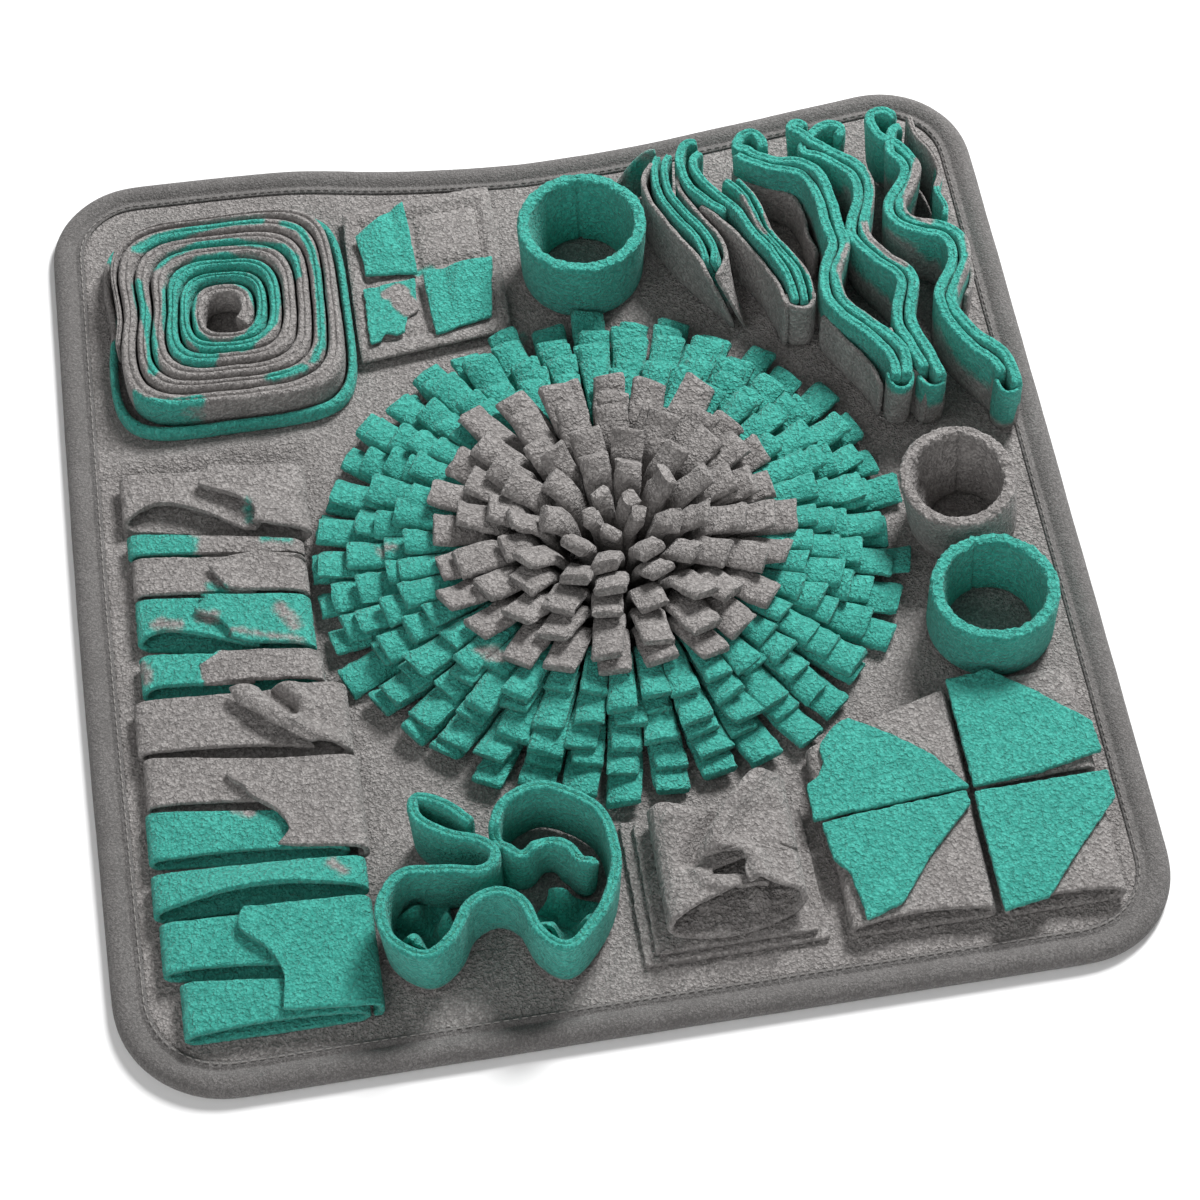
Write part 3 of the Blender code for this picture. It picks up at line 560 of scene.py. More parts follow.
coil = {"centre": (-144.5, 149.5), "half": (58.5, 62.5), "border": 4, "borderCut": (392, 12.5),
        "turns": [8, 6.5, 7, 7, 6.5, 6, 8.3], "top": 25, "squareness": (5, 2.2),
        "startAngle": -52, "firstShare": 0.32, "stations": 64, "slack": 1.1, "thinnest": 1.3}
coilTeal = [(2.6, [(-183.6, 191.3), (-173.7, 195.9), (-157.1, 198.7), (-139.5, 200.1), (-124.2, 198.7)]),
            (1.9, [(-112.9, 194.9), (-104.7, 190.3), (-101.1, 178.4), (-99, 160.7), (-100.3, 138.8),
                   (-101.4, 119.7), (-106.1, 110.9)]),
            (2.2, [(-175, 178.6), (-167.8, 184.9), (-153.1, 188.6), (-138.7, 188), (-127.4, 184.8),
                   (-114.3, 180.7), (-109.2, 173.6), (-108.9, 162.4)]),
            (2.6, [(-185.1, 170.5), (-184.1, 158), (-181.3, 145.4), (-180.3, 133.1), (-181, 116.5)]),
            (2.6, [(-191.6, 104.5), (-187.4, 99.9), (-174.7, 96.4), (-160.9, 96.1)]),
            (2.2, [(-127.5, 103.7), (-118, 105), (-111.4, 107.1)]),
            (4.4, [(-169, 162.8), (-165.9, 172.1), (-154, 177.5), (-141.5, 177.9), (-130.4, 172.9),
                   (-122.6, 164.7), (-122, 150), (-125.2, 137), (-138.6, 124.8)]),
            (4.4, [(-154.1, 120.1), (-163.5, 121.5), (-168.8, 128.8), (-170.4, 144.7), (-169, 162.8)]),
            (4.2, [(-161, 161.4), (-156.7, 168.1), (-146.9, 170.7), (-138.5, 168.7), (-129.7, 159.7),
                   (-126.5, 148.2), (-128.1, 136.3), (-134.4, 128.9), (-146.1, 124.9), (-155.3, 127.7),
                   (-162, 137.2), (-163.4, 149.6), (-161, 161.4)])]
coilEdge = bothSides([(-1, 0, 0), (-1, 0.35, 0), (-1, 0.7, 0), (-1, 1, 3.4), (-0.88, 1, 1.5),
                      (-0.6, 1, 0.4), (-0.3, 1, 0), (-0.1, 1, 0.8), (0, 1, 1.5)])


def coilPoint(inset, angle):
    depth = inset / (sum(coil["turns"]) + coil["border"])
    power = mix(*coil["squareness"], depth)
    halfX, halfY = coil["half"][0] - inset, coil["half"][1] - inset * coil["half"][1] / coil["half"][0]
    reach = (abs(math.cos(angle) / halfX) ** power + abs(math.sin(angle) / halfY) ** power) ** (-1 / power)
    x, y = reach * math.cos(angle), reach * math.sin(angle)
    x += 2.6 * bump(y, 6, 16) * ease(-x / 30) * ease((46 - inset) / 20)     # the left side bows in
    return Vector((coil["centre"][0] + x, coil["centre"][1] + y))


def makeCoil():
    section = [(0.0, seat), (-0.1, 9.0), (0.4, 12.2), (1.4, 13.6), (2.6, 13.6), (3.7, 12.4), (4.0, 9.0), (4.0, seat)]

    def borderPlace(column, row):
        inset, height = section[row % len(section)]
        point = coilPoint(inset, math.tau * (column % 120) / 120)
        return point.x, point.y, height + (0.5 * wobble(point.x, point.y, 0, 15, 5) if height > 6 else 0)

    border = layGrid("coil_outer_strip", 120, len(section), borderPlace)
    sewShut(border, ends=True)
    soften(border)
    paintTint(border, lambda x, y, z: strokeShare([(5, [(-202, 190), (-202, 150)]), (4, [(-150, 211), (-118, 211)])],
                                                  x, y, 3))
    fit(border, tealLook, "fleece_teal", "coil_border")

    # one doubled strip wound inwards; walls holds where each turn ends
    walls = [coil["border"] + gap]
    for turn in coil["turns"]:
        walls.append(walls[-1] + turn)
    steps, rounds = coil["stations"], len(coil["turns"])
    start = math.radians(coil["startAngle"])
    tops, feet, sides, halves = [], [], [], []
    for index in range(int(coil["firstShare"] * steps), rounds * steps + 1):
        turns = index / steps
        angle = start - math.tau * turns
        inner = along(walls, turns / rounds)
        outer = along(walls, (turns - 1) / rounds) if turns > 1 else walls[0]
        a, b = coilPoint(outer, angle), coilPoint(inner, angle)
        middle, across = (a + b) / 2, b - a
        slack = coil["slack"] + (1.3 * bump(math.sin(angle), 1, 0.5) if 4.6 < turns < 5.9 else 0.0)
        height = coil["top"] - 0.6 * ease(turns - 4.3) - 1.6 * ease((turns - 5.6) / 0.8) \
            + 0.7 * wobble(middle.x, middle.y, 0, 20, 6)
        if turns < 1:
            height -= 1.5 * (1 - turns)
        tops.append(Vector((middle.x, middle.y, height)))
        feet.append(Vector((middle.x, middle.y, seat)))
        sides.append(across.normalized())
        halves.append(max(coil["thinnest"], across.length / 2 - slack / 2))
    windings = standStrip("coil_turns", tops, feet, sides, halves, edge=coilEdge, uneven=0.6, seed=7)
    soften(windings, fuzz=0.4)
    paintTint(windings, lambda x, y, z: strokeShare(coilTeal, x, y, 2.6))
    fit(windings, greyLook, "fleece_grey", "coil_windings")
    pathLength(tops)
    crease = [Vector((t.x, t.y, t.z - 1.2)) for t in tops[:int(0.95 * steps)]]
    stitchRow("coil_stitches", crease, greyThread, "fleece_grey", length=2.4, thick=0.8, pitch=3.8)


makeCoil()
print("coil wound")

patch = {"corners": [(-85.2, 115), (-11, 123.5), (-10.5, 215), (-85, 209)], "top": 10.7,
         "cross": (0.46, 0.52), "border": 0.115, "groove": 2.7, "pillow": 1.1, "cut": (74.5, 91.5), "area": 6750}
kiteFlap = [(-76.5, 165.5, 12.6), (-51.5, 162.5, 12.6), (-53.5, 204, 18.5), (-79, 189, 14.4)]
squareFlap = [(-48, 124.5, 12.4), (-20, 131, 12.6), (-15.5, 162.5, 18.5), (-49.5, 161.5, 15.2)]
tornPiece = [(-79, 124), (-74, 125), (-71, 130), (-66, 127.5), (-62, 128.5), (-60, 137),
             (-54, 140), (-53.5, 160), (-66, 159), (-79, 157)]


def fourCorners(corners, u, v):
    near = Vector(corners[0]).lerp(Vector(corners[1]), u)
    far = Vector(corners[3]).lerp(Vector(corners[2]), u)
    return near.lerp(far, v)


def makePatch():
    count = 44
    shares = spaced(count, 0.012)

    def place(column, row):
        u, v = shares[column], shares[row]
        cornerPull = 0.02 * (abs(2 * u - 1) ** 6) * (abs(2 * v - 1) ** 6)
        point = fourCorners(patch["corners"], mix(u, 0.5, cornerPull), mix(v, 0.5, cornerPull))
        rim = min(u, 1 - u, v, 1 - v)
        cross = min(abs(u - patch["cross"][0]), abs(v - patch["cross"][1]))
        groove = max(bump(rim, patch["border"], 0.016), bump(cross, 0, 0.014) * ease((rim - 0.1) / 0.02))
        pillow = ease((rim - patch["border"]) / 0.12) * ease(cross / 0.12)
        lip = ease(rim / 0.03) * ease((patch["border"] - rim) / 0.03 + 0.5)
        height = patch["top"] + patch["pillow"] * pillow + 0.6 * lip - patch["groove"] * groove
        height += 0.5 * wobble(point.x, point.y, 0, 7, 8)
        return point.x, point.y, height - 1.0 * (1 - ease(rim / 0.02))

    square = layGrid("patch_square", count, count, place)
    soften(square, thick=4.2, rounds=1, fuzz=0.4, offset=-1.0)
    smears = [(2.4, [(-51.5, 166), (-45, 167)]), (2.5, [(-20, 117), (-10, 123)])]
    paintTint(square, lambda x, y, z: 0.9 * strokeShare(smears, x, y, 4))
    fit(square, greyLook, "fleece_grey", "patch_panel")
    loop = []
    near, far = patch["border"], 1 - patch["border"]
    for a, b in (((near, near), (far, near)), ((far, near), (far, far)), ((far, far), (near, far)),
                 ((near, far), (near, near))):
        for step in range(20):
            point = fourCorners(patch["corners"], mix(a[0], b[0], step / 20), mix(a[1], b[1], step / 20))
            loop.append(Vector((point.x, point.y, patch["top"] - 0.7)))
    stitchRow("patch_stitches", loop + loop[:1], greyThread, "fleece_grey", length=2.0, thick=0.6, pitch=3.6)

    def makeFlap(name, corners, node, crease):
        steps = 16
        ways = spaced(steps, 0.035)

        def flapPlace(column, row):
            u, v = ways[column], ways[row]
            point = fourCorners(corners, u, v)
            sag = math.sin(math.pi * u) * math.sin(math.pi * v)
            point.x += 0.7 * wobble(point.x, point.y, 0, 9, 9)
            point.y += 0.6 * wobble(point.y, point.x, 0, 8, 10)
            point.z += 1.6 * math.sin(math.pi * u) * v - 2.6 * bump(u, crease, 0.12) * v + 0.6 * sag
            return point

        flap = layGrid(name, steps, steps, flapPlace)
        soften(flap, thick=2.4, fuzz=0.45)
        fit(flap, tealLook, "fleece_teal", node)
        cutGrid(flapPlace, steps, steps)

    makeFlap("kite_flap", kiteFlap, "patch_kite_flap", 0.72)
    makeFlap("square_flap", squareFlap, "patch_square_flap", 0.3)
    torn, (width, length, area) = cutCloth("torn_bit", tornPiece, lambda x, y: 12.7 + 0.5 * wobble(x, y, 0, 6, 11),
                                           pitch=3.0, ragged=0.9, seed=12)
    soften(torn, thick=1.8, fuzz=0.6)
    strokes = [(5.5, [(-62, 152), (-61, 146), (-58, 142)]), (3.0, [(-68, 152), (-62, 155)])]
    paintTint(torn, lambda x, y, z: strokeShare(strokes, x, y, 3.5))
    fit(torn, tealLook, "fleece_teal", "patch_torn_piece")


makePatch()
print("patch sewn")

cups = [{"name": "cup_back", "teal": 1, "x": 27, "y": 156, "radius": 29, "height": 38.5,
         "lean": (0.5, -0.5), "slope": 0, "flare": 1.5, "seam": 84},
        {"name": "cup_grey", "teal": 0, "x": 176.5, "y": -17.5, "radius": 24.5, "height": 36.5,
         "lean": (-4.5, 1), "slope": 3, "flare": 1.5, "seam": 88},
        {"name": "cup_front", "teal": 1, "x": 176.5, "y": -74, "radius": 28.5, "height": 32.5,
         "lean": (0, -0.5), "slope": 0.5, "flare": -0.2, "seam": 100}]
cupWall = {"half": 3, "stations": 60, "footLean": 4, "curl": 0.75, "curlSize": 2.1, "seamDepth": 1.3}
cupEdge = bothSides([(-1, 0, 0), (-1, 0.2, 0), (-1, 0.45, 0), (-1, 0.7, 0), (-1, 0.88, 0),
                     (-1, 1, 1.7), (-0.8, 1, 0.4), (-0.4, 1, -0.1), (0, 1, 0.05)])


def makeCup(cup):
    count, half = cupWall["stations"], cupWall["half"]
    foot = seat + 0.3
    tops, feet, sides = [], [], []
    for step in range(count):
        angle = math.tau * step / count
        out = Vector((math.cos(angle), math.sin(angle)))
        height = cup["height"] + cup["slope"] * math.sin(angle) + 0.5 * wobble(out.x * 30, out.y * 30, 0, 14, 13)
        radius = cup["radius"] - half
        dent = 0.6 * wobble(out.x * 30, out.y * 30, 9, 22, 14)
        tops.append(Vector((cup["x"] + cup["lean"][0] + (radius + cup["flare"] + dent) * out.x,
                            cup["y"] + cup["lean"][1] + (radius + cup["flare"] + dent) * out.y, foot + height)))
        feet.append(Vector((cup["x"] + radius * out.x, cup["y"] + radius * out.y, foot)))
        sides.append(out)
    wall = standStrip("sewn_" + cup["name"], tops, feet, sides, half, closed=True, edge=cupEdge, uneven=0.5, seed=15)
    soften(wall, rounds=2, fuzz=0.3)
    seam = math.radians(cup["seam"])
    for vert in wall.data.vertices:      # a raw, curly rim and the seam inside
        p = vert.co / mm
        rim = ease((p.z - foot - cup["height"] + cup["slope"] + 3.5) / 2.5)
        curl = noise.noise_vector(p / cupWall["curlSize"])
        vert.co += curl * rim * cupWall["curl"] * mm
        angle = math.atan2(p.y - cup["y"], p.x - cup["x"])
        reach = math.hypot(p.x - cup["x"], p.y - cup["y"])
        if reach < cup["radius"] - half:
            lean = cupWall["footLean"] * (1 - ease((p.z - foot) / cup["height"]))
            vert.co -= Vector((math.cos(angle), math.sin(angle), 0)) * lean * mm
        if reach < cup["radius"] - 2.2 and abs((angle - seam + math.pi) % math.tau - math.pi) < 0.2:
            depth = bump((angle - seam + math.pi) % math.tau - math.pi, 0, 0.05) * cupWall["seamDepth"]
            vert.co += Vector((math.cos(angle), math.sin(angle), 0)) * depth * mm
    paintTint(wall)
    fit(wall, *colourOf(cup), cup["name"])


for cup in cups:
    makeCup(cup)
print("cups stand")

ruffles = {
    "ruffle_1": [(69, 194), (66.5, 178), (73.5, 157), (81.5, 139), (83, 116)],
    "ruffle_2": [(86, 198), (83.5, 183), (92, 166), (103, 148), (114, 126), (122, 106),
                 (121, 93)],
    "ruffle_3": [(113, 195), (110, 187), (122, 179), (138, 172),
                 (143.5, 156), (144, 138), (145, 124), (137.5, 108), (138, 90), (150, 73),
                 (159, 58), (158, 40)],
    "ruffle_4": [(139.5, 196), (138.5, 189.5), (150, 180.5), (161, 168),
                 (163, 153), (155.5, 131), (163, 113.5), (172.5, 98), (166.5, 78), (170.5, 57),
                 (174, 38)],
    "ruffle_5": [(175, 194), (173.5, 186), (183.5, 176.5), (187.5, 163),
                 (175, 143), (180, 130), (197, 123), (199, 106), (187.5, 84), (194, 62),
                 (205.5, 44), (207, 29)],
}
ruffle = {"height": 37, "toe": (14, -9), "pitch": 2.5}
edgeRuffle = [(194, 199), (194.5, 187), (199.5, 174.5), (201.5, 161), (197.5, 150.5), (199.5, 140),
              (197.5, 133.5)]
# each layer: offset across, half thickness, first and last share of the run, drop from the top, how far down
# the left and the right face stay teal, and a path of its own where it leaves the others
ruffleLayers = {
    "ruffle_1": [(0, 1.3, 0, 1, 0.5, 0, 0, [(67, 189), (60.5, 179.5), (61, 167), (66.4, 155),
                                                     (71.9, 141), (78, 127), (81, 115.5)]),
                 (0, 1.9, 0, 1, 1, 40, 40, [(70.5, 193), (66.5, 184), (67, 168), (73, 153.5),
                                                        (79.5, 141), (82, 129.5), (81, 124)]),
                 (0, 1.9, 0, 1, 0.6, 40, 40, [(76, 193), (71.5, 184), (71.7, 169), (77.5, 155.5),
                                                        (84, 143.5), (86.7, 131), (84.8, 122.5)]),
                 (0, 1.3, 0, 1, 3.5, 0, 0, [(79, 184), (77, 172), (83, 156.5), (90.5, 142),
                                                     (92, 128), (85, 115)])],
    "ruffle_2": [(0, 2.3, 0, 1, 0.3, 12, 40, [(90.5, 197.5), (83.5, 196.5), (79, 186), (81.5, 172),
                                                        (88.5, 161.5), (96.5, 153.5)]),
                 (0, 2.2, 0, 1, 0, 40, 40, [(91, 191.5), (86, 186), (86.8, 176.5), (92.5, 166.5),
                                                        (101.5, 154), (106.5, 138), (113.5, 123.5),
                                                        (118.3, 108), (118.8, 94.5)]),
                 (0, 1.9, 0, 1, 0.8, 40, 8, [(98.5, 173), (103, 166.5), (107, 156), (110.8, 140.5),
                                                       (118, 125), (122.9, 109), (123.3, 93)]),
                 (0, 1.3, 0, 1, 3.5, 0, 0, [(84.5, 161), (91, 152.5), (100, 138.5), (108.5, 121.5),
                                                     (113.3, 106.5), (114.6, 92.5)]),
                 (0, 1.3, 0, 1, 2.5, 0, 40, [(105, 174), (111.5, 160), (115, 141),
                                                      (122, 125.5), (127.5, 110), (127.5, 95)])],
    "ruffle_3": [(-2.9, 2.75, 0.03, 1, 0, 13, 40, [(121, 188), (120.5, 194.5), (116.5, 199),
                                                          (110.5, 197), (107.5, 190.5)]),
                 (2.9, 2.65, 0.04, 0.985, 0.6, 40, 14, None),
                 (0, 1.3, 0, 1, 14, 0, 0, [(106.5, 189), (108, 181), (120, 174), (131, 168),
                                                      (134.5, 156), (134, 143), (136.5, 131)]),
                 (0, 1.3, 0, 1, 10, 0, 0, [(131, 92), (138.5, 75), (147.5, 60), (150.5, 46)])],
    "ruffle_4": [(-2.9, 2.75, 0.02, 1, 0, 15, 40, [(143.5, 198), (139.5, 202.5), (135, 198.5)]),
                 (2.9, 2.65, 0.06, 0.99, 0.6, 40, 12, [(156.5, 190), (160.5, 195), (154.5, 198.5),
                                                         (147.5, 196)]),
                 (7.2, 1.2, 0.78, 1, 4, 0, 0, None)],
    "ruffle_5": [(-2.9, 2.75, 0.02, 1, 0, 15, 40, [(187, 197), (182, 201.5), (174.5, 199.5)]),
                 (2.9, 2.65, 0.1, 0.99, 0.6, 40, 12, [(189.5, 191.5), (184, 189.5)]),
                 (-7, 1.2, 0.45, 0.62, 13, 0, 0, None)],
}
ruffleSmears = [(2, [(159, 133), (161, 124), (166, 116), (173, 106)]), (1.5, [(168, 168), (169, 153), (165, 139)]),
                (1.8, [(180, 96), (176, 82), (176, 68)]), (1.5, [(149, 122), (142, 108), (143, 92), (155, 76)]),
                (3, [(193, 168), (189, 157), (183, 146), (182, 138), (190, 131)]),
                (1.5, [(205, 118), (204, 104), (195, 88)]), (1.5, [(105, 160), (108, 146), (112, 138)])]
# the turn that closes a near end, along and across it; how far down it is teal, and half its width
ruffleWrap = [(-9, -1), (-4, -0.9), (0.4, -0.6), (1.6, 0), (0.4, 0.6), (-4, 0.9), (-9, 1)]
ruffleEnds = {"ruffle_2": (0, 6.7), "ruffle_3": (2, 5.6), "ruffle_4": (14, 5.6), "ruffle_5": (26, 5.6)}
thinEdge = bothSides([(-1, 0, 0), (-1, 0.35, 0), (-1, 0.7, 0), (-1, 1, 1.4), (-0.75, 1, 0.3),
                      (0, 1, 0)])


def settled(top, toe):      # the foot of a fold is straighter than its top
    last = len(top) - 1
    reach = max(2, round(12.0 / ruffle["pitch"]))
    foot = []
    for index, point in enumerate(top):
        before, after = top[max(index - reach, 0)], top[min(index + reach, last)]
        hold = ease(min(index, last - index) / reach)
        foot.append(point.lerp((before + after) / 2, 0.35 * hold) + toe * max(0.0, 2 * index / last - 1) ** 2)
    return foot


def makeLayer(name, path, layer, toe, seed):
    offset, half, first, end, drop, leftTeal, rightTeal, own = layer
    if own:
        knots = [Vector(bend) for bend in own]
        if offset:      # a curled far end, then the strip's own line
            rest = [p + n * offset for p, n in zip(path, sideways(path))]
            knots += rest[round(first * len(path)):round(end * (len(path) - 1)) + 1:3]
        top, offset, first, end = curvePath(knots, int(pathLength(knots) / ruffle["pitch"])), 0.0, 0.0, 1.0
    else:
        top = path
    foot = settled(top, toe)
    topSides, footSides = sideways(top), sideways(foot)
    last = len(top) - 1
    tops, feet, sides = [], [], []
    for index in range(round(first * last), round(end * last) + 1):
        spread = offset + 0.45 * wobble(top[index].x, top[index].y, 0, 13, 16 + seed)
        rise = 0.9 * math.sin(index * 0.27) + 1.1 * wobble(top[index].x, top[index].y, offset, 10, 17 + seed)
        drawn = 1 - 0.45 * ease((index / last - 0.9) / 0.1) if not own else 1.0      # the near end is sewn together
        a = top[index] + topSides[index] * spread * drawn
        b = foot[index] + footSides[index] * offset * 1.1 * drawn
        tops.append(Vector((a.x, a.y, seat + ruffle["height"] + rise - drop)))
        feet.append(Vector((b.x, b.y, seat + 0.3)))
        sides.append(topSides[index])
    sheet = standStrip(name + str(seed), tops, feet, sides, half, edge=stripEdge if half > 1.5 else thinEdge,
                       uneven=0.5, seed=18 + seed)
    shares = []
    for vert in sheet.data.vertices:
        p = vert.co / mm
        near = min(range(len(tops)), key=lambda k: (p.x - mix(feet[k].x, tops[k].x, p.z / tops[k].z)) ** 2
                   + (p.y - mix(feet[k].y, tops[k].y, p.z / tops[k].z)) ** 2)
        middle = feet[near].lerp(tops[near], (p.z - feet[near].z) / (tops[near].z - feet[near].z))
        across = (p.x - middle.x) * sides[near].x + (p.y - middle.y) * sides[near].y
        down = tops[near].z - p.z
        limit = (leftTeal if across < 0 else rightTeal) * (1 + 0.3 * wobble(near * 2.5, offset * 5, 0, 25, 19))
        shares.append(max(ease((down - limit) / 1.6 + 0.7) if limit else 1.0,
                          0.9 * strokeShare(ruffleSmears, p.x, p.y, 2.0) if down < 8 else 0.0))
    sheet.data.attributes.new("tint", "FLOAT", "POINT").data.foreach_set("value", shares)
    return sheet


def makeRuffle(name, bends):
    path = curvePath(bends, int(pathLength([Vector(b) for b in bends]) / ruffle["pitch"]))
    toe = Vector(ruffle["toe"]) if name == "ruffle_1" else Vector((0.0, 0.0))
    layers = [makeLayer(name, path, layer, toe, seed) for seed, layer in enumerate(ruffleLayers[name])]
    if name == "ruffle_1":      # its first layer runs on as a flap that falls to the left
        flap = curvePath([(46.0, 191.0), (54.0, 197.0), (63.0, 199.0), (70.0, 197.0)], 12)
        rise = [Vector((p.x, p.y, seat + mix(14.0, ruffle["height"] - 2, ease(k / 12)))) for k, p in enumerate(flap)]
        base = [Vector((p.x + 2.0, p.y - 1.0, seat + 0.3)) for p in flap]
        layers.append(standStrip(name + "flap", rise, base, sideways(flap), 1.2, edge=thinEdge, seed=44))
        paintTint(layers[-1], lambda x, y, z: 0.55 + 0.5 * wobble(x, y, z, 9, 45))
    if name in ruffleEnds:      # one turn of fleece closes the near end
        end, way = path[-1], (path[-1] - path[-4]).normalized()
        out = Vector((way.y, -way.x))
        tealDepth, wide = ruffleEnds[name]
        wrap = [end + way * a + out * wide * b for a, b in ruffleWrap]
        layers.append(makeLayer(name, path, (0.0, 1.2, 0.0, 1.0, 4.0, tealDepth, min(tealDepth, 3.0), wrap), toe, 7))
    strip = joinAll(layers)
    strip.name = strip.data.name = name + "_fleece"
    soften(strip, fuzz=0.45)
    fit(strip, tealLook, "fleece_teal", name)
    run = sum(pathLength(path) * (layer[3] - layer[2]) * (layer[0] != 0)
              + (pathLength([Vector(b) for b in layer[7]]) if layer[7] else 0.0) for layer in ruffleLayers[name])


def makeEdgeRuffle():
    top = curvePath(edgeRuffle, 28)
    sides = sideways(top)
    tops = [Vector((p.x, p.y, seat + ruffle["height"] - 2.0 + 0.8 * wobble(p.x, p.y, 0, 9, 20))) for p in top]
    feet = [Vector((p.x, p.y, seat + 0.3)) for p in settled(top, Vector((0.0, 0.0)))]
    strip = standStrip("ruffle_6_fleece", tops, feet, sides, 1.6, uneven=0.5, seed=21)
    soften(strip)
    paintTint(strip, lambda x, y, z: ease((168 - y) / 6) * 0.95 if z < 38 or y < 152 else 0.1)
    fit(strip, greyLook, "fleece_grey", "ruffle_6")
    pathLength(tops)


for name, bends in ruffles.items():
    makeRuffle(name, bends)
makeEdgeRuffle()
print("ruffles stand")

flower = {"centre": (14, -8), "drift": (3, -6), "stretch": (1.03, 1), "thick": 4.1,
          "climb": 0.36, "steepen": 0.42, "bandSteps": 48}
tiers = [("fringe_teal_1", 40, 89, 130, 10.8, 8.6, 14.8), ("fringe_teal_2", 40, 80, 121, 15.2, 13.4, 14.8),
         ("fringe_teal_3", 40, 71, 111.5, 19.6, 18, 14.8), ("fringe_teal_4", 40, 62, 102, 24, 22.4, 14.4),
         ("fringe_teal_5", 40, 53, 92, 28.4, 26.8, 14), ("fringe_grey_1", 24, 44, 81, 32.6, 32.6, 15.4),
         ("fringe_grey_2", 20, 35.5, 69, 36.6, 38, 15.2), ("fringe_grey_3", 16, 27.5, 57, 40, 42.5, 14.6),
         ("fringe_grey_4", 13, 19.5, 44, 43, 46.5, 13.4), ("fringe_grey_5", 9, 12, 29.5, 45, 49, 12.4),
         ("fringe_grey_6", 5, 4.5, 13, 43, 49.5, 9.6)]       # name, strips, root, tip, crest, end, width
stripRing = [(-0.5, -0.22), (-0.4, -0.5), (0.4, -0.5), (0.5, -0.22), (0.5, 0.22), (0.4, 0.5), (0, 0.56),
             (-0.4, 0.5), (-0.5, 0.22)]
stripStations = [0, 0.17, 0.34, 0.5, 0.64, 0.76, 0.86, 0.94, 0.985, 1]
smearedTips = [(4, [(-49, -66), (-41, -70)]), (2.2, [(-86, -1), (-80, -3)])]


def flowerPoint(radius, angle, across):
    share = 1 - radius / tiers[0][3]
    x = radius * math.cos(angle) - across * math.sin(angle)
    y = radius * math.sin(angle) + across * math.cos(angle)
    return Vector((flower["centre"][0] + flower["drift"][0] * share + x * flower["stretch"][0],
                   flower["centre"][1] + flower["drift"][1] * share + y * flower["stretch"][1]))


def makeTier(tier, draw, loose):
    name, strips, root, tipBase, crest, end, wide = tier
    pitch, around = math.tau / strips, len(stripRing)
    teal = "teal" in name
    points, faces = [], []
    for number in range(strips):
        angle = (number + 0.5) * pitch
        away = max(0.0, math.sin(angle))        # the far side stands up more
        tip = tipBase + draw.uniform(-2.5, 2.0) + loose.uniform(-5.5, 5.0) * (1.0 if root > 20 else 0.3)
        sway = draw.uniform(-0.06, 0.06) * pitch
        roll = math.radians(loose.uniform(-17, 17) * (1.0 if teal else 1.4))
        bend, lift = loose.uniform(-2.6, 2.6), loose.uniform(-0.4, 1.3)
        width = wide * loose.uniform(0.9, 1.06)
        thick = flower["thick"] * loose.uniform(0.92, 1.15) * (1.0 if root > 13 else 1.35)
        curl = loose.uniform(-0.3, 2.2) + 2.0 * away if root > 13 else loose.uniform(-3.0, 2.0)
        climb = flower["climb"] + flower["steepen"] * max(0.0, 53.0 - root) / 48.0
        seed = loose.uniform(0, 500)
        base = len(points)
        spine = []
        for share in stripStations:
            rise = math.sin(min(1.0, share / climb) * math.pi / 2)
            height = mix(seat + 2.2, crest, rise) if share < climb else mix(crest, end, (share - climb) / (1 - climb))
            spine.append((mix(root, tip, share), height + lift * share ** 2 + curl * ease((share - 0.7) / 0.3)))
        for order, share in enumerate(stripStations):
            radius, height = spine[order]
            before, after = spine[max(order - 1, 0)], spine[min(order + 1, len(spine) - 1)]
            slope = math.atan2(after[1] - before[1], after[0] - before[0]) * min(1.0, share / 0.4)
            turn = angle + sway * share
            across = min(0.9 * pitch * max(radius, 13.0), width)
            heft = thick * (0.8 if share == 1.0 else 1.0)
            for side, up in stripRing:
                lump = 1.3 * noise.noise(Vector((side * 2.5 + seed, share * 16, up * 1.5)))
                a = side * across * (0.93 if share == 1.0 else 1.0 + 0.07 * lump)
                b = up * heft * (1 + 0.22 * lump) + (0.45 * noise.noise(Vector((seed, share * 22, side))))
                swing = a * math.cos(roll * share) - b * math.sin(roll * share) + bend * share ** 2
                level = a * math.sin(roll * share) + b * math.cos(roll * share)
                ragged = 1.2 * noise.noise(Vector((seed + 9, side * 3, up * 2))) if share > 0.95 else 0.0
                place = flowerPoint(radius + ragged - level * math.sin(slope), turn, swing)
                points.append((place.x, place.y, max(seat + 0.1, height + level * math.cos(slope))))
            if order:
                for k in range(around):
                    n = (k + 1) % around
                    low, high = base + (order - 1) * around, base + order * around
                    faces.append((low + k, low + n, high + n, high + k))
        faces.append(tuple(base + k for k in range(around)))
        faces.append(tuple(base + (len(stripStations) - 1) * around + k for k in reversed(range(around))))
    base = len(points)      # the sewn band that joins the roots
    band = flower["bandSteps"]
    for step in range(band):
        angle = math.tau * step / band
        for out, up in ((-1.3, seat), (-1.3, seat + 2.6), (1.3, seat + 2.6), (1.3, seat)):
            place = flowerPoint(root + out, angle, 0)
            points.append((place.x, place.y, up))
    for step in range(band):
        for k in range(4):
            a, b = base + step * 4, base + ((step + 1) % band) * 4
            faces.append((a + k, a + (k + 1) % 4, b + (k + 1) % 4, b + k))
    fringe = fromLists(name + "_strips", points, faces)
    sewShut(fringe, ends=True)
    pickOnly(fringe)
    bpy.ops.object.shade_smooth_by_angle(angle=math.radians(55))
    paintTint(fringe, lambda x, y, z: 0.8 * strokeShare(smearedTips, x, y, 4.0) if teal else 0.0)
    fit(fringe, *colourOf({"teal": teal}), name)


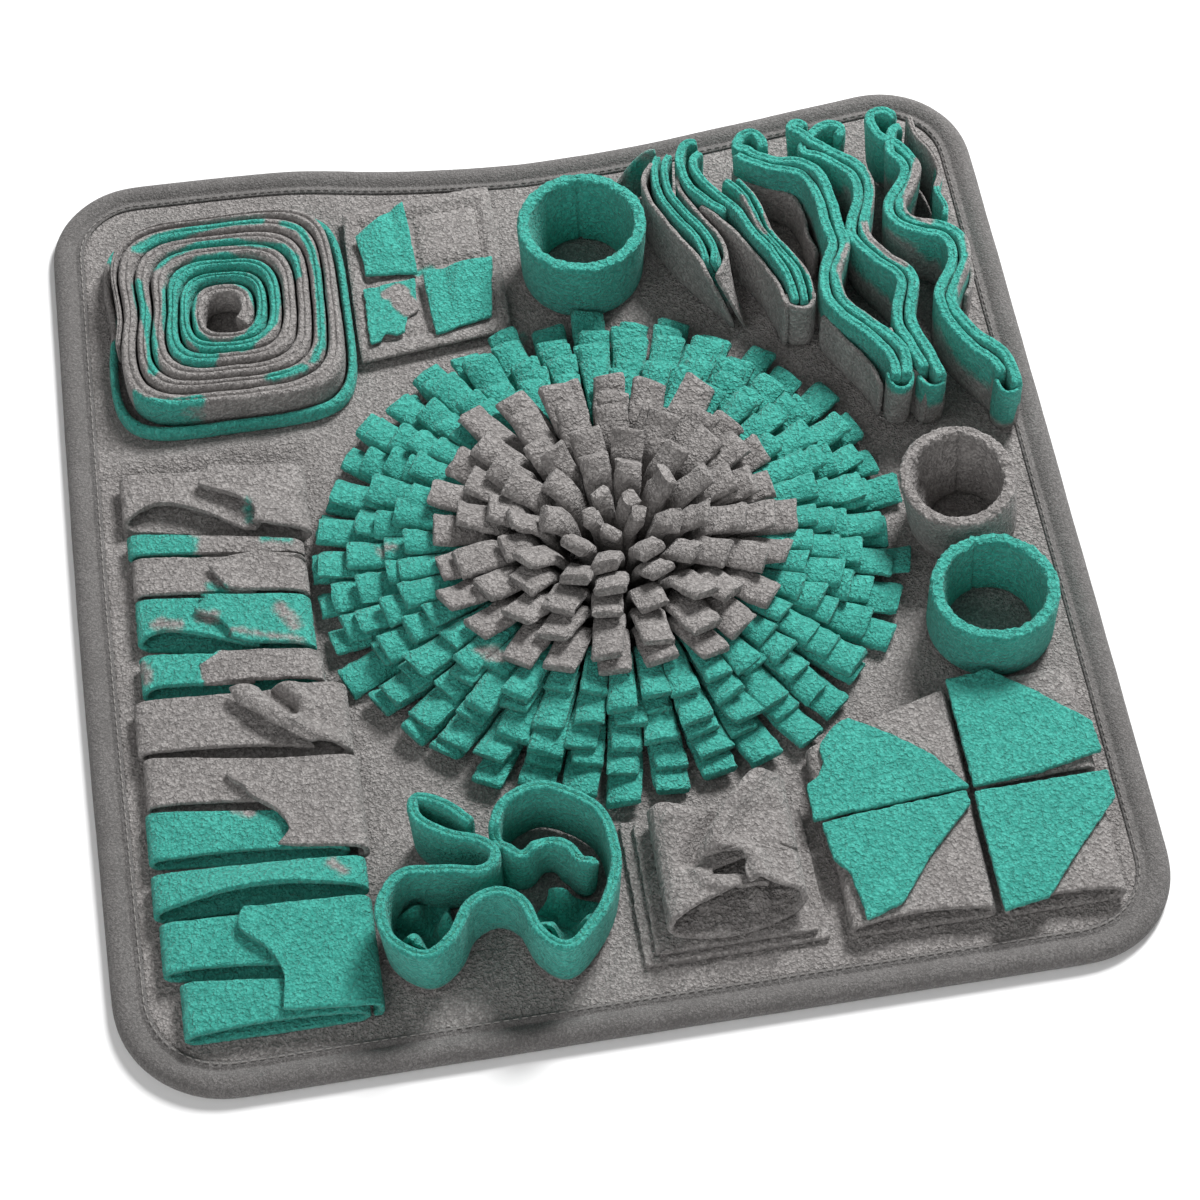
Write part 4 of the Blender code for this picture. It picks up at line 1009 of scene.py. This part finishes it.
def makeFlower():
    draw, loose = random.Random(7), random.Random(23)
    for tier in tiers:
        makeTier(tier, draw, loose)


makeFlower()
print("flower sewn")

fleece = 2.8
loopTop, tabTop = 14, 17.3
# left, right, back and front (y at the left and at the right end), then the ends of the layer below and of the tab
openLoops = [
    {"name": "loop_curl", "left": -203, "right": -117, "back": (66, 57), "front": (39, 20.5),
     "teal": 0, "under": [-141, -138, -134, -142], "lip": 12, "lipAt": 0.24, "lipReach": 0.4, "curl": 3.4,
     "columns": 120, "rows": 24,
     "tab": [(-161, 66), (-161.5, 58), (-165.5, 53.5), (-166.5, 49.5), (-163, 46.5), (-155, 45), (-146.5, 42),
             (-141.5, 37), (-142.5, 31), (-146.5, 26.5), (-146, 21)],
     "smears": [(1.6, [(-144.5, 38), (-144.5, 30)])]},
    {"name": "loop_plain", "left": -201, "right": -121, "back": (19.5, 7.5), "front": (-1, -13), "teal": 0,
     "under": [-145, -145], "lip": 0.5, "curl": 1.6,
     "tab": [(-143, 13), (-157, 11), (-166, 7), (-163, 2), (-160, -4), (-157, -9)],
     "smears": [(2.6, [(-165, -3), (-160, -7)])]},
    {"name": "loop_torn", "left": -201, "right": -121, "back": (-3, -15), "front": (-26, -42), "teal": 1,
     "under": [-146, -146], "lip": 6, "lipAt": 0.2, "lipReach": 0.4, "curl": 0.6,
     "tab": [(-160, -4), (-172, -6), (-171, -9), (-167, -10.5), (-174, -17), (-171.5, -20), (-165, -22), (-160, -27),
             (-158.5, -31)],
     "smears": [(3.5, [(-190, -19), (-182, -21)]), (2.5, [(-171, -18.5), (-164, -20)]),
                (3.5, [(-135, -21), (-130, -31)]), (1.6, [(-157, -30), (-128, -39)])]},
    {"name": "loop_mixed", "left": -201, "right": -119, "back": (-33, -45), "front": (-53.5, -60),
     "teal": 1, "under": [-150, -150], "lip": 2.5, "lipAt": 0.12, "curl": -2.6, "tabGrey": True,
     "tab": [(-158, -32), (-161, -36), (-168, -41), (-174, -44), (-173, -53)],
     "smears": [(3, [(-199, -39), (-197, -46)])]},
    {"name": "loop_twist", "left": -205, "right": -110.5, "back": (-57, -63), "front": (-84, -98),
     "teal": 0, "under": [-138, -127], "lip": 3, "lipAt": 0.6, "curl": 2.6, "columns": 130, "rows": 28,
     "tab": [(-158, -56), (-161.5, -60), (-160, -66), (-152, -75), (-142, -84), (-131, -90), (-122, -94)],
     "tabFolds": [(3, 3.4, [(-158, -61), (-150, -72), (-140, -81), (-118, -93)]),
                  (-9, 2.6, [(-146.5, -61.5), (-140.5, -67), (-135, -76)]),
                  (3.4, 2.6, [(-151, -58), (-141.5, -58.5), (-133.5, -65), (-128.5, -74), (-134, -82)]),
                  (2.2, 2, [(-152, -63), (-145, -73), (-139, -79)])]},     # height, spread, line
]
closedLoops = [
    {"name": "loop_slim", "left": -202, "right": -121, "back": (33, 17), "front": (21.5, 10), "rise": 0,
     "lip": 0, "teal": 0, "smears": [(9, [(-203, 26), (-178, 22)]), (1.5, [(-140, 20), (-128, 17)])]},
    {"name": "loop_upper_grey", "left": -203.5, "right": -117, "back": (-86, -101), "front": (-111, -123.5),
     "rise": 0, "lip": 2, "teal": 0},
    {"name": "loop_lower_grey", "left": -204.5, "right": -117, "back": (-113.5, -126), "front": (-138, -145),
     "rise": 0, "lip": 2, "teal": 1, "smears": [(2.5, [(-164, -118), (-158, -122)])]},
    {"name": "loop_arch", "left": -204.5, "right": -111, "back": (-144.5, -149.5), "front": (-164, -165),
     "rise": 6, "lip": 5, "teal": 1, "smears": [(2.6, [(-126, -152), (-122, -157)])]},
    {"name": "loop_upper_teal", "left": -202.5, "right": -117, "back": (-168, -172), "front": (-192, -204),
     "rise": 0, "lip": 3.5, "teal": 1},
    {"name": "loop_lower_teal", "left": -196, "right": -117, "back": (-197, -206.5), "front": (-223, -223),
     "rise": 0, "lip": 2, "teal": 1},
]
wideTabs = [
    {"name": "tab_grey", "right": -109.5, "back": (-96.5, -101), "front": (-139, -147), "teal": 0,
     "cut": [(-160, -97), (-164, -99), (-167, -102.5), (-165.5, -107), (-160, -110), (-158, -115), (-152, -119),
             (-147, -122), (-143.5, -127), (-142, -132), (-145, -135.5), (-148, -139)]},
    {"name": "tab_teal", "right": -111.5, "back": (-168, -170), "front": (-217.5, -222), "teal": 1,
     "cut": [(-165, -166), (-168, -171), (-168, -177), (-163, -182), (-157, -187), (-153, -194), (-151, -201),
             (-153, -217)]},
]


def foldSide(end, inward, foot, top, softness=7.0):       # one rounded fold, from the upper layer down to the foot
    shoulder = min(0.9 * (top - foot), softness)
    outer, bent, flat = [end + inward * (fleece / 2 + share * shoulder) for share in (0.0, 0.4, 1.4)]
    return [(flat, top), (bent, mix(foot, top, 0.88)), (outer, mix(foot, top, 0.5)), (bent, mix(foot, top, 0.12)),
            (flat, foot)]


def depthAt(row, x, v):
    share = (x - row["left"]) / (row["right"] - row["left"])
    return mix(mix(*row["back"], share), mix(*row["front"], share), v)


def cutAt(line, y):     # x of a cut line at y, for a line that runs from back to front
    best = line[-1][0]
    for (ax, ay), (bx, by) in zip(line[::-1][1:], line[::-1]):
        if min(ay, by) <= y <= max(ay, by):
            best = mix(bx, ax, (y - by) / max(abs(ay - by), 1e-6) * (1 if ay > by else -1))
    return best if y <= line[0][1] else line[0][0]


def makeOpenLoop(row, bottom, layers, sag=0.0):
    columns, rows = row.get("columns", 72), row.get("rows", 15)
    foot = bottom + fleece / 2
    underTop, upperTop = layers
    shares = spaced(rows, 0.035)
    stations = spaced(columns, 0.008)
    middle = (row["right"] + row["left"]) / 2
    runs = {}

    def section(v):
        if v not in runs:
            left = foldSide(row["left"], 1, foot, underTop)
            right = foldSide(row["right"], -1, foot, upperTop)
            under = along(row["under"], v)
            y = depthAt(row, middle, v)
            tab = cutAt(row["tab"], y)
            line = [(under, underTop), ((left[0][0] + under) / 2, underTop)] + left + right[::-1]
            line += [(mix(right[0][0], tab, 0.5), upperTop), (tab, upperTop)]
            runs[v] = curvePath(line, 240)
        return runs[v]

    def place(column, line):
        v, u = shares[line], stations[column]
        point = section(v)[round(u * 240)]
        x, height = point.x, point.y
        across = max(0.0, min(1.0, (x - row["left"]) / (row["right"] - row["left"])))
        peak = row.get("lipAt", 0.5)
        reach = row.get("lipReach", 1 - peak)
        arch = math.sin(math.pi / 2 * (across / peak if across < peak else 1 + min(1.0, (across - peak) / reach)))
        low = ease((mix(foot, underTop, 0.85) - height) / 4.0)
        if "hole" in row and u < 0.3 and x > row["hole"][0]:      # the under layer is drawn back from a round hole
            start, end, middleShare, reachShare = row["hole"]
            nominal = along(row["under"], v)
            opened = mix(nominal, end, ease(1.5 - abs(v - middleShare) / reachShare))
            x = mix(start, opened, (x - start) / (nominal - start))
        y = depthAt(row, x, v) + mix(row["lip"] * arch, sag * math.sin(math.pi * across), low) * v ** 2
        y -= row.get("farDrop", 0.0) * (1 - v) ** 2 * ease((0.34 - u) / 0.12)
        tabPart = ease((u - 0.62) / 0.06)
        height += (1 - low) * (0.5 * wobble(x, y, 0, 11, 24) + 0.25 * wobble(x, y, 0, 4.5, 41))
        height += (1 - low) * (1 - tabPart) * 0.9 * arch * v
        if tabPart:      # the tab's cut end lifts and rolls
            end = ease((u - 0.88) / 0.12)
            height += row.get("curl", 0.0) * end * (0.55 + 0.45 * v + 0.3 * wobble(x, y, 9, 8, 42))
            y += 1.2 * end * wobble(x, y, 20, 6, 43)
        folds = row.get("tabFolds", []) if u > 0.6 else row.get("underFolds", []) if u < 0.3 else []
        creased = height + sum(rise * bump(lineGap(fold, x, y), 0, spread) for rise, spread, fold in folds)
        height = max(creased, min(height, foot + fleece + 0.3))      # a fold stops on the layer below
        return x, y, height

    loop = layGrid(row["name"] + "_fleece", columns, rows, place)
    soften(loop, thick=fleece, fuzz=0.45)
    boundary = row["tab"] if row.get("tabGrey") else None

    def share(x, y, z):
        if boundary and z > underTop - 2 and x > cutAt(boundary, y):
            return ease((x - cutAt(boundary, y) + 3.0) / 6.0)
        return 0.85 * strokeShare(row.get("smears", []), x, y, 8.0) if z > foot + 4 else 0.0

    paintTint(loop, share)
    fit(loop, *colourOf(row), row["name"])
    cutGrid(place, columns, rows)


def makeClosedLoop(row, top, rows=12):
    columns, foot = 64, seat + fleece / 2
    middle = (row["left"] + row["right"]) / 2
    softness = row.get("softness", 7.0)
    line = foldSide(row["left"], 1, foot, top, softness) + foldSide(row["right"], -1, foot, top, softness)[::-1]
    line.append((middle, top))
    ring = curvePath(line, columns, closed=True)[:-1]
    shares = spaced(rows, 0.04)

    def place(column, line):
        point = ring[column % columns]
        x, height, v = point.x, point.y, shares[line]
        y = depthAt(row, x, v)
        if height > mix(foot, top, 0.6):
            share = math.sin(math.pi * (x - row["left"]) / (row["right"] - row["left"])) * v
            y += row["lip"] * share
            height += row["rise"] * share + 0.5 * wobble(x, y, 0, 13, 25)
            height += 0.6 * math.sin(math.pi * (x - row["left"]) / (row["right"] - row["left"])) * bump(v, 0.5, 0.4)
        return x, y, height

    loop = layGrid(row["name"] + "_fleece", columns, rows, place)
    sewShut(loop)
    soften(loop, thick=fleece, fuzz=0.45)
    paintTint(loop, lambda x, y, z: 0.95 * strokeShare(row.get("smears", []), x, y, 8.0))
    fit(loop, *colourOf(row), row["name"])
    cutGrid(place, columns, rows)


def makeWideTab(row):
    columns, rows, foot = 30, 22, seat + fleece / 2
    middle = row["right"] - fleece / 2
    shares, stations = spaced(rows, 0.02), spaced(columns, 0.012)

    def place(column, line):
        v = shares[line]
        cutX = cutAt(row["cut"], mix(row["cut"][0][1], row["cut"][-1][1], v))
        knots = [(middle - 3.6, foot), (middle - 0.8, foot + 0.8), (middle, mix(foot, tabTop, 0.45)),
                 (middle - 1.0, tabTop - 1.6), (middle - 6.0, tabTop), (mix(middle, cutX, 0.5), tabTop),
                 (cutX, tabTop)]
        point = curvePath(knots, 120)[round(stations[column] * 120)]
        share = (point.x - row["cut"][0][0]) / (row["right"] - row["cut"][0][0])
        y = mix(mix(*row["back"], share), mix(*row["front"], share), v)
        height = point.y + (0.45 * wobble(point.x, y, 0, 14, 26) if point.y > 12 else 0.0)
        height += 1.7 * ease((stations[column] - 0.88) / 0.12) * (0.7 + 0.6 * wobble(point.x, y, 3, 9, 46))
        return point.x, y, height

    tab = layGrid(row["name"] + "_fleece", columns, rows, place)
    soften(tab, thick=fleece, fuzz=0.5)
    paintTint(tab)
    fit(tab, *colourOf(row), row["name"])
    cutGrid(place, columns, rows)


for row in openLoops:
    makeOpenLoop(row, seat, (loopTop, tabTop))
for row in closedLoops:
    makeClosedLoop(row, loopTop)
for row in wideTabs:
    makeWideTab(row)
print("left side looped")

envelope = {"lower": [(-2.5, -148.5), (-2, -218), (77, -217), (75.5, -146.5)],
            "upper": [(3, -151), (3, -214.5), (72.5, -214), (72, -149.5)]}
sleeve = {"name": "envelope_sleeve", "left": 9, "right": 69.5, "back": (-151.5, -146),
          "front": (-208.5, -204), "under": [62, 54, 52, 54], "lip": 8.5, "lipAt": 0.58, "curl": 1.2,
          "teal": 0, "columns": 134, "rows": 37, "layers": (25.5, 29.5), "sag": -6, "farDrop": 7,
          "hole": (19, 31.5, 0.755, 0.092),      # from x, to x, middle and half width along the run
          "tab": [(60, -144), (50, -153), (39.5, -164), (31, -175), (27, -181), (27.5, -184.5), (32, -184),
                  (40, -185), (44.5, -188), (46, -193), (44.5, -199), (46, -210)],
          # height, spread and line of each soft fold in the two upper layers
          "tabFolds": [(6, 5, [(58, -148), (45, -161), (36, -173)]),
                       (3.6, 3.6, [(33, -179.5), (43, -180.5), (50, -187), (51, -198)]),
                       (-2, 5, [(62, -165), (61, -195)])],
          "underFolds": [(2.6, 2.6, [(24, -186), (29, -193.5), (39, -197)]),
                         (1.8, 2.6, [(11, -158.5), (26, -160)]),
                         (-7.5, 4.2, [(47, -151), (35.5, -162), (27, -173), (23.5, -181)])]}


def makeEnvelope():
    step = fleece + gap
    for name, outline, foot in (("envelope_base_lower", envelope["lower"], seat),
                                ("envelope_base_upper", envelope["upper"], seat + step)):
        base, (width, length, area) = cutCloth(name + "_fleece", outline,
                                               lambda x, y: foot + fleece / 2 + 0.15 * wobble(x, y, foot, 9, 27),
                                               pitch=4.5, ragged=0.5, seed=28)
        soften(base, thick=fleece - 0.2, fuzz=0.35)
        paintTint(base)
        fit(base, greyLook, "fleece_grey", name)
    edge = [(71.0, -212.0), (70.2, -151.5)]
    stitchRow("envelope_stitches", [Vector((*p, seat + 2 * step - 0.2)) for p in edge], greyThread, "fleece_grey",
              length=2.6, thick=0.6, pitch=4.0)
    makeOpenLoop(sleeve, seat + 2 * step, sleeve["layers"], sag=sleeve["sag"])


makeEnvelope()
print("envelope folded")

pocketTop = 13.9
pockets = [
    {"name": "pocket_far_left", "left": 82, "right": 149.4, "back": (-129, -108), "front": (-161, -159.5)},
    {"name": "pocket_far_right", "left": 151.5, "right": 205, "back": (-108, -106.5), "front": (-160, -157.5)},
    {"name": "pocket_near_left", "left": 85, "right": 148.4, "back": (-168, -164.5), "front": (-218, -218)},
    {"name": "pocket_near_right", "left": 150.5, "right": 204, "back": (-164, -164), "front": (-219, -218)},
]
pocketFlaps = {
    "pocket_flap_far_left": [(103, -118), (97, -120.5), (88, -130), (88.5, -138), (85.5, -144.5),
                             (79, -148), (79, -166), (148, -160.8), (135, -142), (120, -129.5)],
    "pocket_flap_far_right": [(148.6, -106.5), (149.6, -161), (180, -158.5), (208, -152), (207, -137),
                              (186, -118), (168, -104)],
    "pocket_flap_near_left": [(82, -167.5), (84, -185), (89.5, -193), (92.5, -216.5), (109, -211),
                              (125, -190.5), (147, -168.5), (146, -162.2)],
    "pocket_flap_near_right": [(149, -163.2), (149.6, -221.5), (170, -218), (185, -200.5), (208.5, -175),
                               (208, -162)],
}


def makePockets():
    for row in pockets:
        lip = 3.0 if "near" in row["name"] else 0.0
        makeClosedLoop(dict(row, rise=0.0, lip=lip, teal=0, softness=4.5), pocketTop, rows=18)
    for name, outline in pocketFlaps.items():
        top = pocketTop + fleece + 2 * gap

        def height(x, y):
            return top + 0.35 * wobble(x, y, 0, 15, 29) - 0.96 * ease((abs(x - 147) - 48) / 14) ** 2

        flap, (width, length, area) = cutCloth(name + "_fleece", outline, height, pitch=4.2, ragged=0.7, seed=30)
        soften(flap, thick=fleece, fuzz=0.45)
        paintTint(flap)
        fit(flap, tealLook, "fleece_teal", name)


makePockets()
print("pockets flat")

clover = {"top": 40, "wall": 5, "middle": (-60, -180), "foot": 0.965, "stations": 230, "loosens": 0.84}
cloverBends = [
    (-65.5, -155), (-74, -145.5), (-87, -139.5), (-88, -149), (-77, -158), (-64.5, -163),
    (-57.5, -170.5), (-63, -178), (-80, -175.5), (-97, -174.5), (-107.5, -187), (-105, -204),
    (-92, -213.5), (-80, -206.5), (-72, -193.5), (-60, -188.5), (-50, -195), (-44, -210),
    (-34, -218.5), (-23, -211), (-12, -195), (-8, -176), (-13, -156), (-33, -142),
    (-50, -147.5), (-56.5, -159), (-49, -171), (-37, -166), (-27, -171), (-20, -180),
    (-14.5, -177)]
scraps = [{"name": "clover_scrap_left", "x": -90.5, "y": -189.5, "half": (11.8, 11), "turn": 20},
          {"name": "clover_scrap_right", "x": -31, "y": -195, "half": (12, 12), "turn": -25}]
cloverEdge = bothSides([(-1, 0, 0), (-1, 0.3, 0), (-1, 0.6, 0), (-1, 0.85, 0), (-1.04, 1, 2),
                        (-0.85, 1, 0.4), (-0.45, 1, 0), (-0.15, 1, 0.3), (0, 1, 0.9)])


def makeClover():
    count, middle = clover["stations"], Vector(clover["middle"])
    path = curvePath(cloverBends, count)
    loose = [ease((k / (count - 1) - clover["loosens"]) / 0.04) for k in range(count)]    # the inner end is crumpled
    across = sideways(path)
    path = [p + n * 2.0 * amount * wobble(k, 0, 0, 4, 47)
            for k, (p, n, amount) in enumerate(zip(path, across, loose))]
    tops = [Vector((p.x, p.y, clover["top"] + 0.7 * wobble(p.x, p.y, 0, 18, 31)
                    - amount * (3.5 + 4.0 * wobble(p.x, p.y, 5, 6, 48)))) for p, amount in zip(path, loose)]
    footPath = [middle + (p - middle) * clover["foot"] for p in path]
    footPath = [p - n * 4.5 * amount * wobble(k, 9, 0, 5, 49)
                for k, (p, n, amount) in enumerate(zip(footPath, across, loose))]
    feet = [Vector((p.x, p.y, seat + 0.3)) for p in footPath]
    sides = sideways(path)
    wall = standStrip("clover_strip", tops, feet, sides, clover["wall"] / 2, edge=cloverEdge, uneven=0.6, seed=32)
    soften(wall, fuzz=0.35)
    paintTint(wall, lambda x, y, z: ease((9.5 - z) / 2) * 0.8 if y < -196 else 0.0)
    fit(wall, tealLook, "fleece_teal", "clover_wall")
    pathLength(path)
    line = [t - Vector((0, 0, 0.7)) for t in tops]
    stitchRow("clover_stitches", line, tealThread, "fleece_teal", length=2.6, thick=0.9, pitch=3.9)


def makeScrap(row):
    turn = math.radians(row["turn"])
    steps = 30
    ways = spaced(steps, 0.02)

    def place(column, line):
        u, v = ways[column], ways[line]
        angle, reach = math.atan2(v - 0.5, u - 0.5), 2 * math.hypot(u - 0.5, v - 0.5)
        petal = 0.5 + 0.5 * math.cos(3 * angle + row["turn"])        # three corners stand up, the rest stays low
        shrink = 1.25 - 0.45 * petal * ease(reach)
        x, y = row["half"][0] * (2 * u - 1) * shrink, row["half"][1] * (2 * v - 1) * shrink
        x += 1.7 * wobble(u * 9, v * 9, 0, 2.6, 33)
        y += 1.7 * wobble(v * 9, u * 9, 4, 2.6, 34)
        height = seat + 2.0 + 17.0 * petal ** 1.5 * ease(reach / 1.2) + 2.5 * abs(wobble(u * 10, v * 10, 8, 2.4, 35))
        return (row["x"] + x * math.cos(turn) - y * math.sin(turn),
                row["y"] + x * math.sin(turn) + y * math.cos(turn), height)

    scrap = layGrid(row["name"] + "_fleece", steps, steps, place)
    soften(scrap, thick=2.2, fuzz=0.4)
    paintTint(scrap)
    fit(scrap, tealLook, "fleece_teal", row["name"])
    cutGrid(place, steps, steps)


makeClover()
for row in scraps:
    makeScrap(row)
print("clover stands")

lamps = [{"name": "key", "at": (0.95, 1.15, 1.5), "size": 0.7, "power": 70},
         {"name": "fill", "at": (-1.5, -0.9, 1.8), "size": 2, "power": 12},
         {"name": "front", "at": (-0.2, -1.8, 0.9), "size": 1.5, "power": 12}]
room = {"world": 0.18, "floorSize": 8, "floorTones": (0.915, 0.93)}
eye = {"lens": 96.678, "sensor": 36, "at": (-0.08363149, -0.82244948, 1.21889567),
       "right": (0.98841622, -0.149888, -0.02381111), "up": (0.13832064, 0.82511941, 0.54776397),
       "ahead": (0.06245624, 0.54471235, -0.83629401)}


def makeStudio():
    bpy.ops.object.select_all(action="DESELECT")
    bpy.ops.mesh.primitive_plane_add(size=room["floorSize"], location=(0.0, 0.0, -0.0002))
    floor = bpy.context.object
    floor.name = "floor"
    paper, tree, shader = newLook("pale paper", 0.9, 0.1)
    spot = addNode(tree, "ShaderNodeTexCoord").outputs["Object"]
    grain = addNode(tree, "ShaderNodeTexNoise", {"Vector": spot, "Scale": 3.0, "Detail": 1.0})
    low, high = room["floorTones"]
    tone = addNode(tree, "ShaderNodeMapRange", {"Value": grain.outputs[0], "To Min": low, "To Max": high})
    tree.links.new(tone.outputs[0], shader.inputs["Base Color"])
    floor.data.materials.append(paper)
    for lamp in lamps:
        light = bpy.data.lights.new(lamp["name"], "AREA")
        light.shape, light.size, light.energy = "DISK", lamp["size"], lamp["power"]
        body = bpy.data.objects.new(lamp["name"], light)
        bpy.context.scene.collection.objects.link(body)
        body.location = lamp["at"]
        body.rotation_euler = (-Vector(lamp["at"])).to_track_quat("-Z", "Y").to_euler()
    world = bpy.data.worlds.new("soft room")
    world.use_nodes = True
    world.node_tree.nodes["Background"].inputs[0].default_value = (1.0, 1.0, 1.0, 1.0)
    world.node_tree.nodes["Background"].inputs[1].default_value = room["world"]
    bpy.context.scene.world = world
    bpy.context.scene.view_settings.view_transform = "Standard"


def setCamera():
    camera = bpy.data.cameras.new("camera")
    camera.lens, camera.sensor_width = eye["lens"], eye["sensor"]
    camera.clip_start = 0.05
    body = bpy.data.objects.new("camera", camera)
    bpy.context.scene.collection.objects.link(body)
    turn = Matrix((Vector(eye["right"]), Vector(eye["up"]), -Vector(eye["ahead"]))).transposed().to_4x4()
    body.matrix_world = Matrix.Translation(eye["at"]) @ turn
    bpy.context.scene.camera = body


makeStudio()
setCamera()
print("lit and framed")
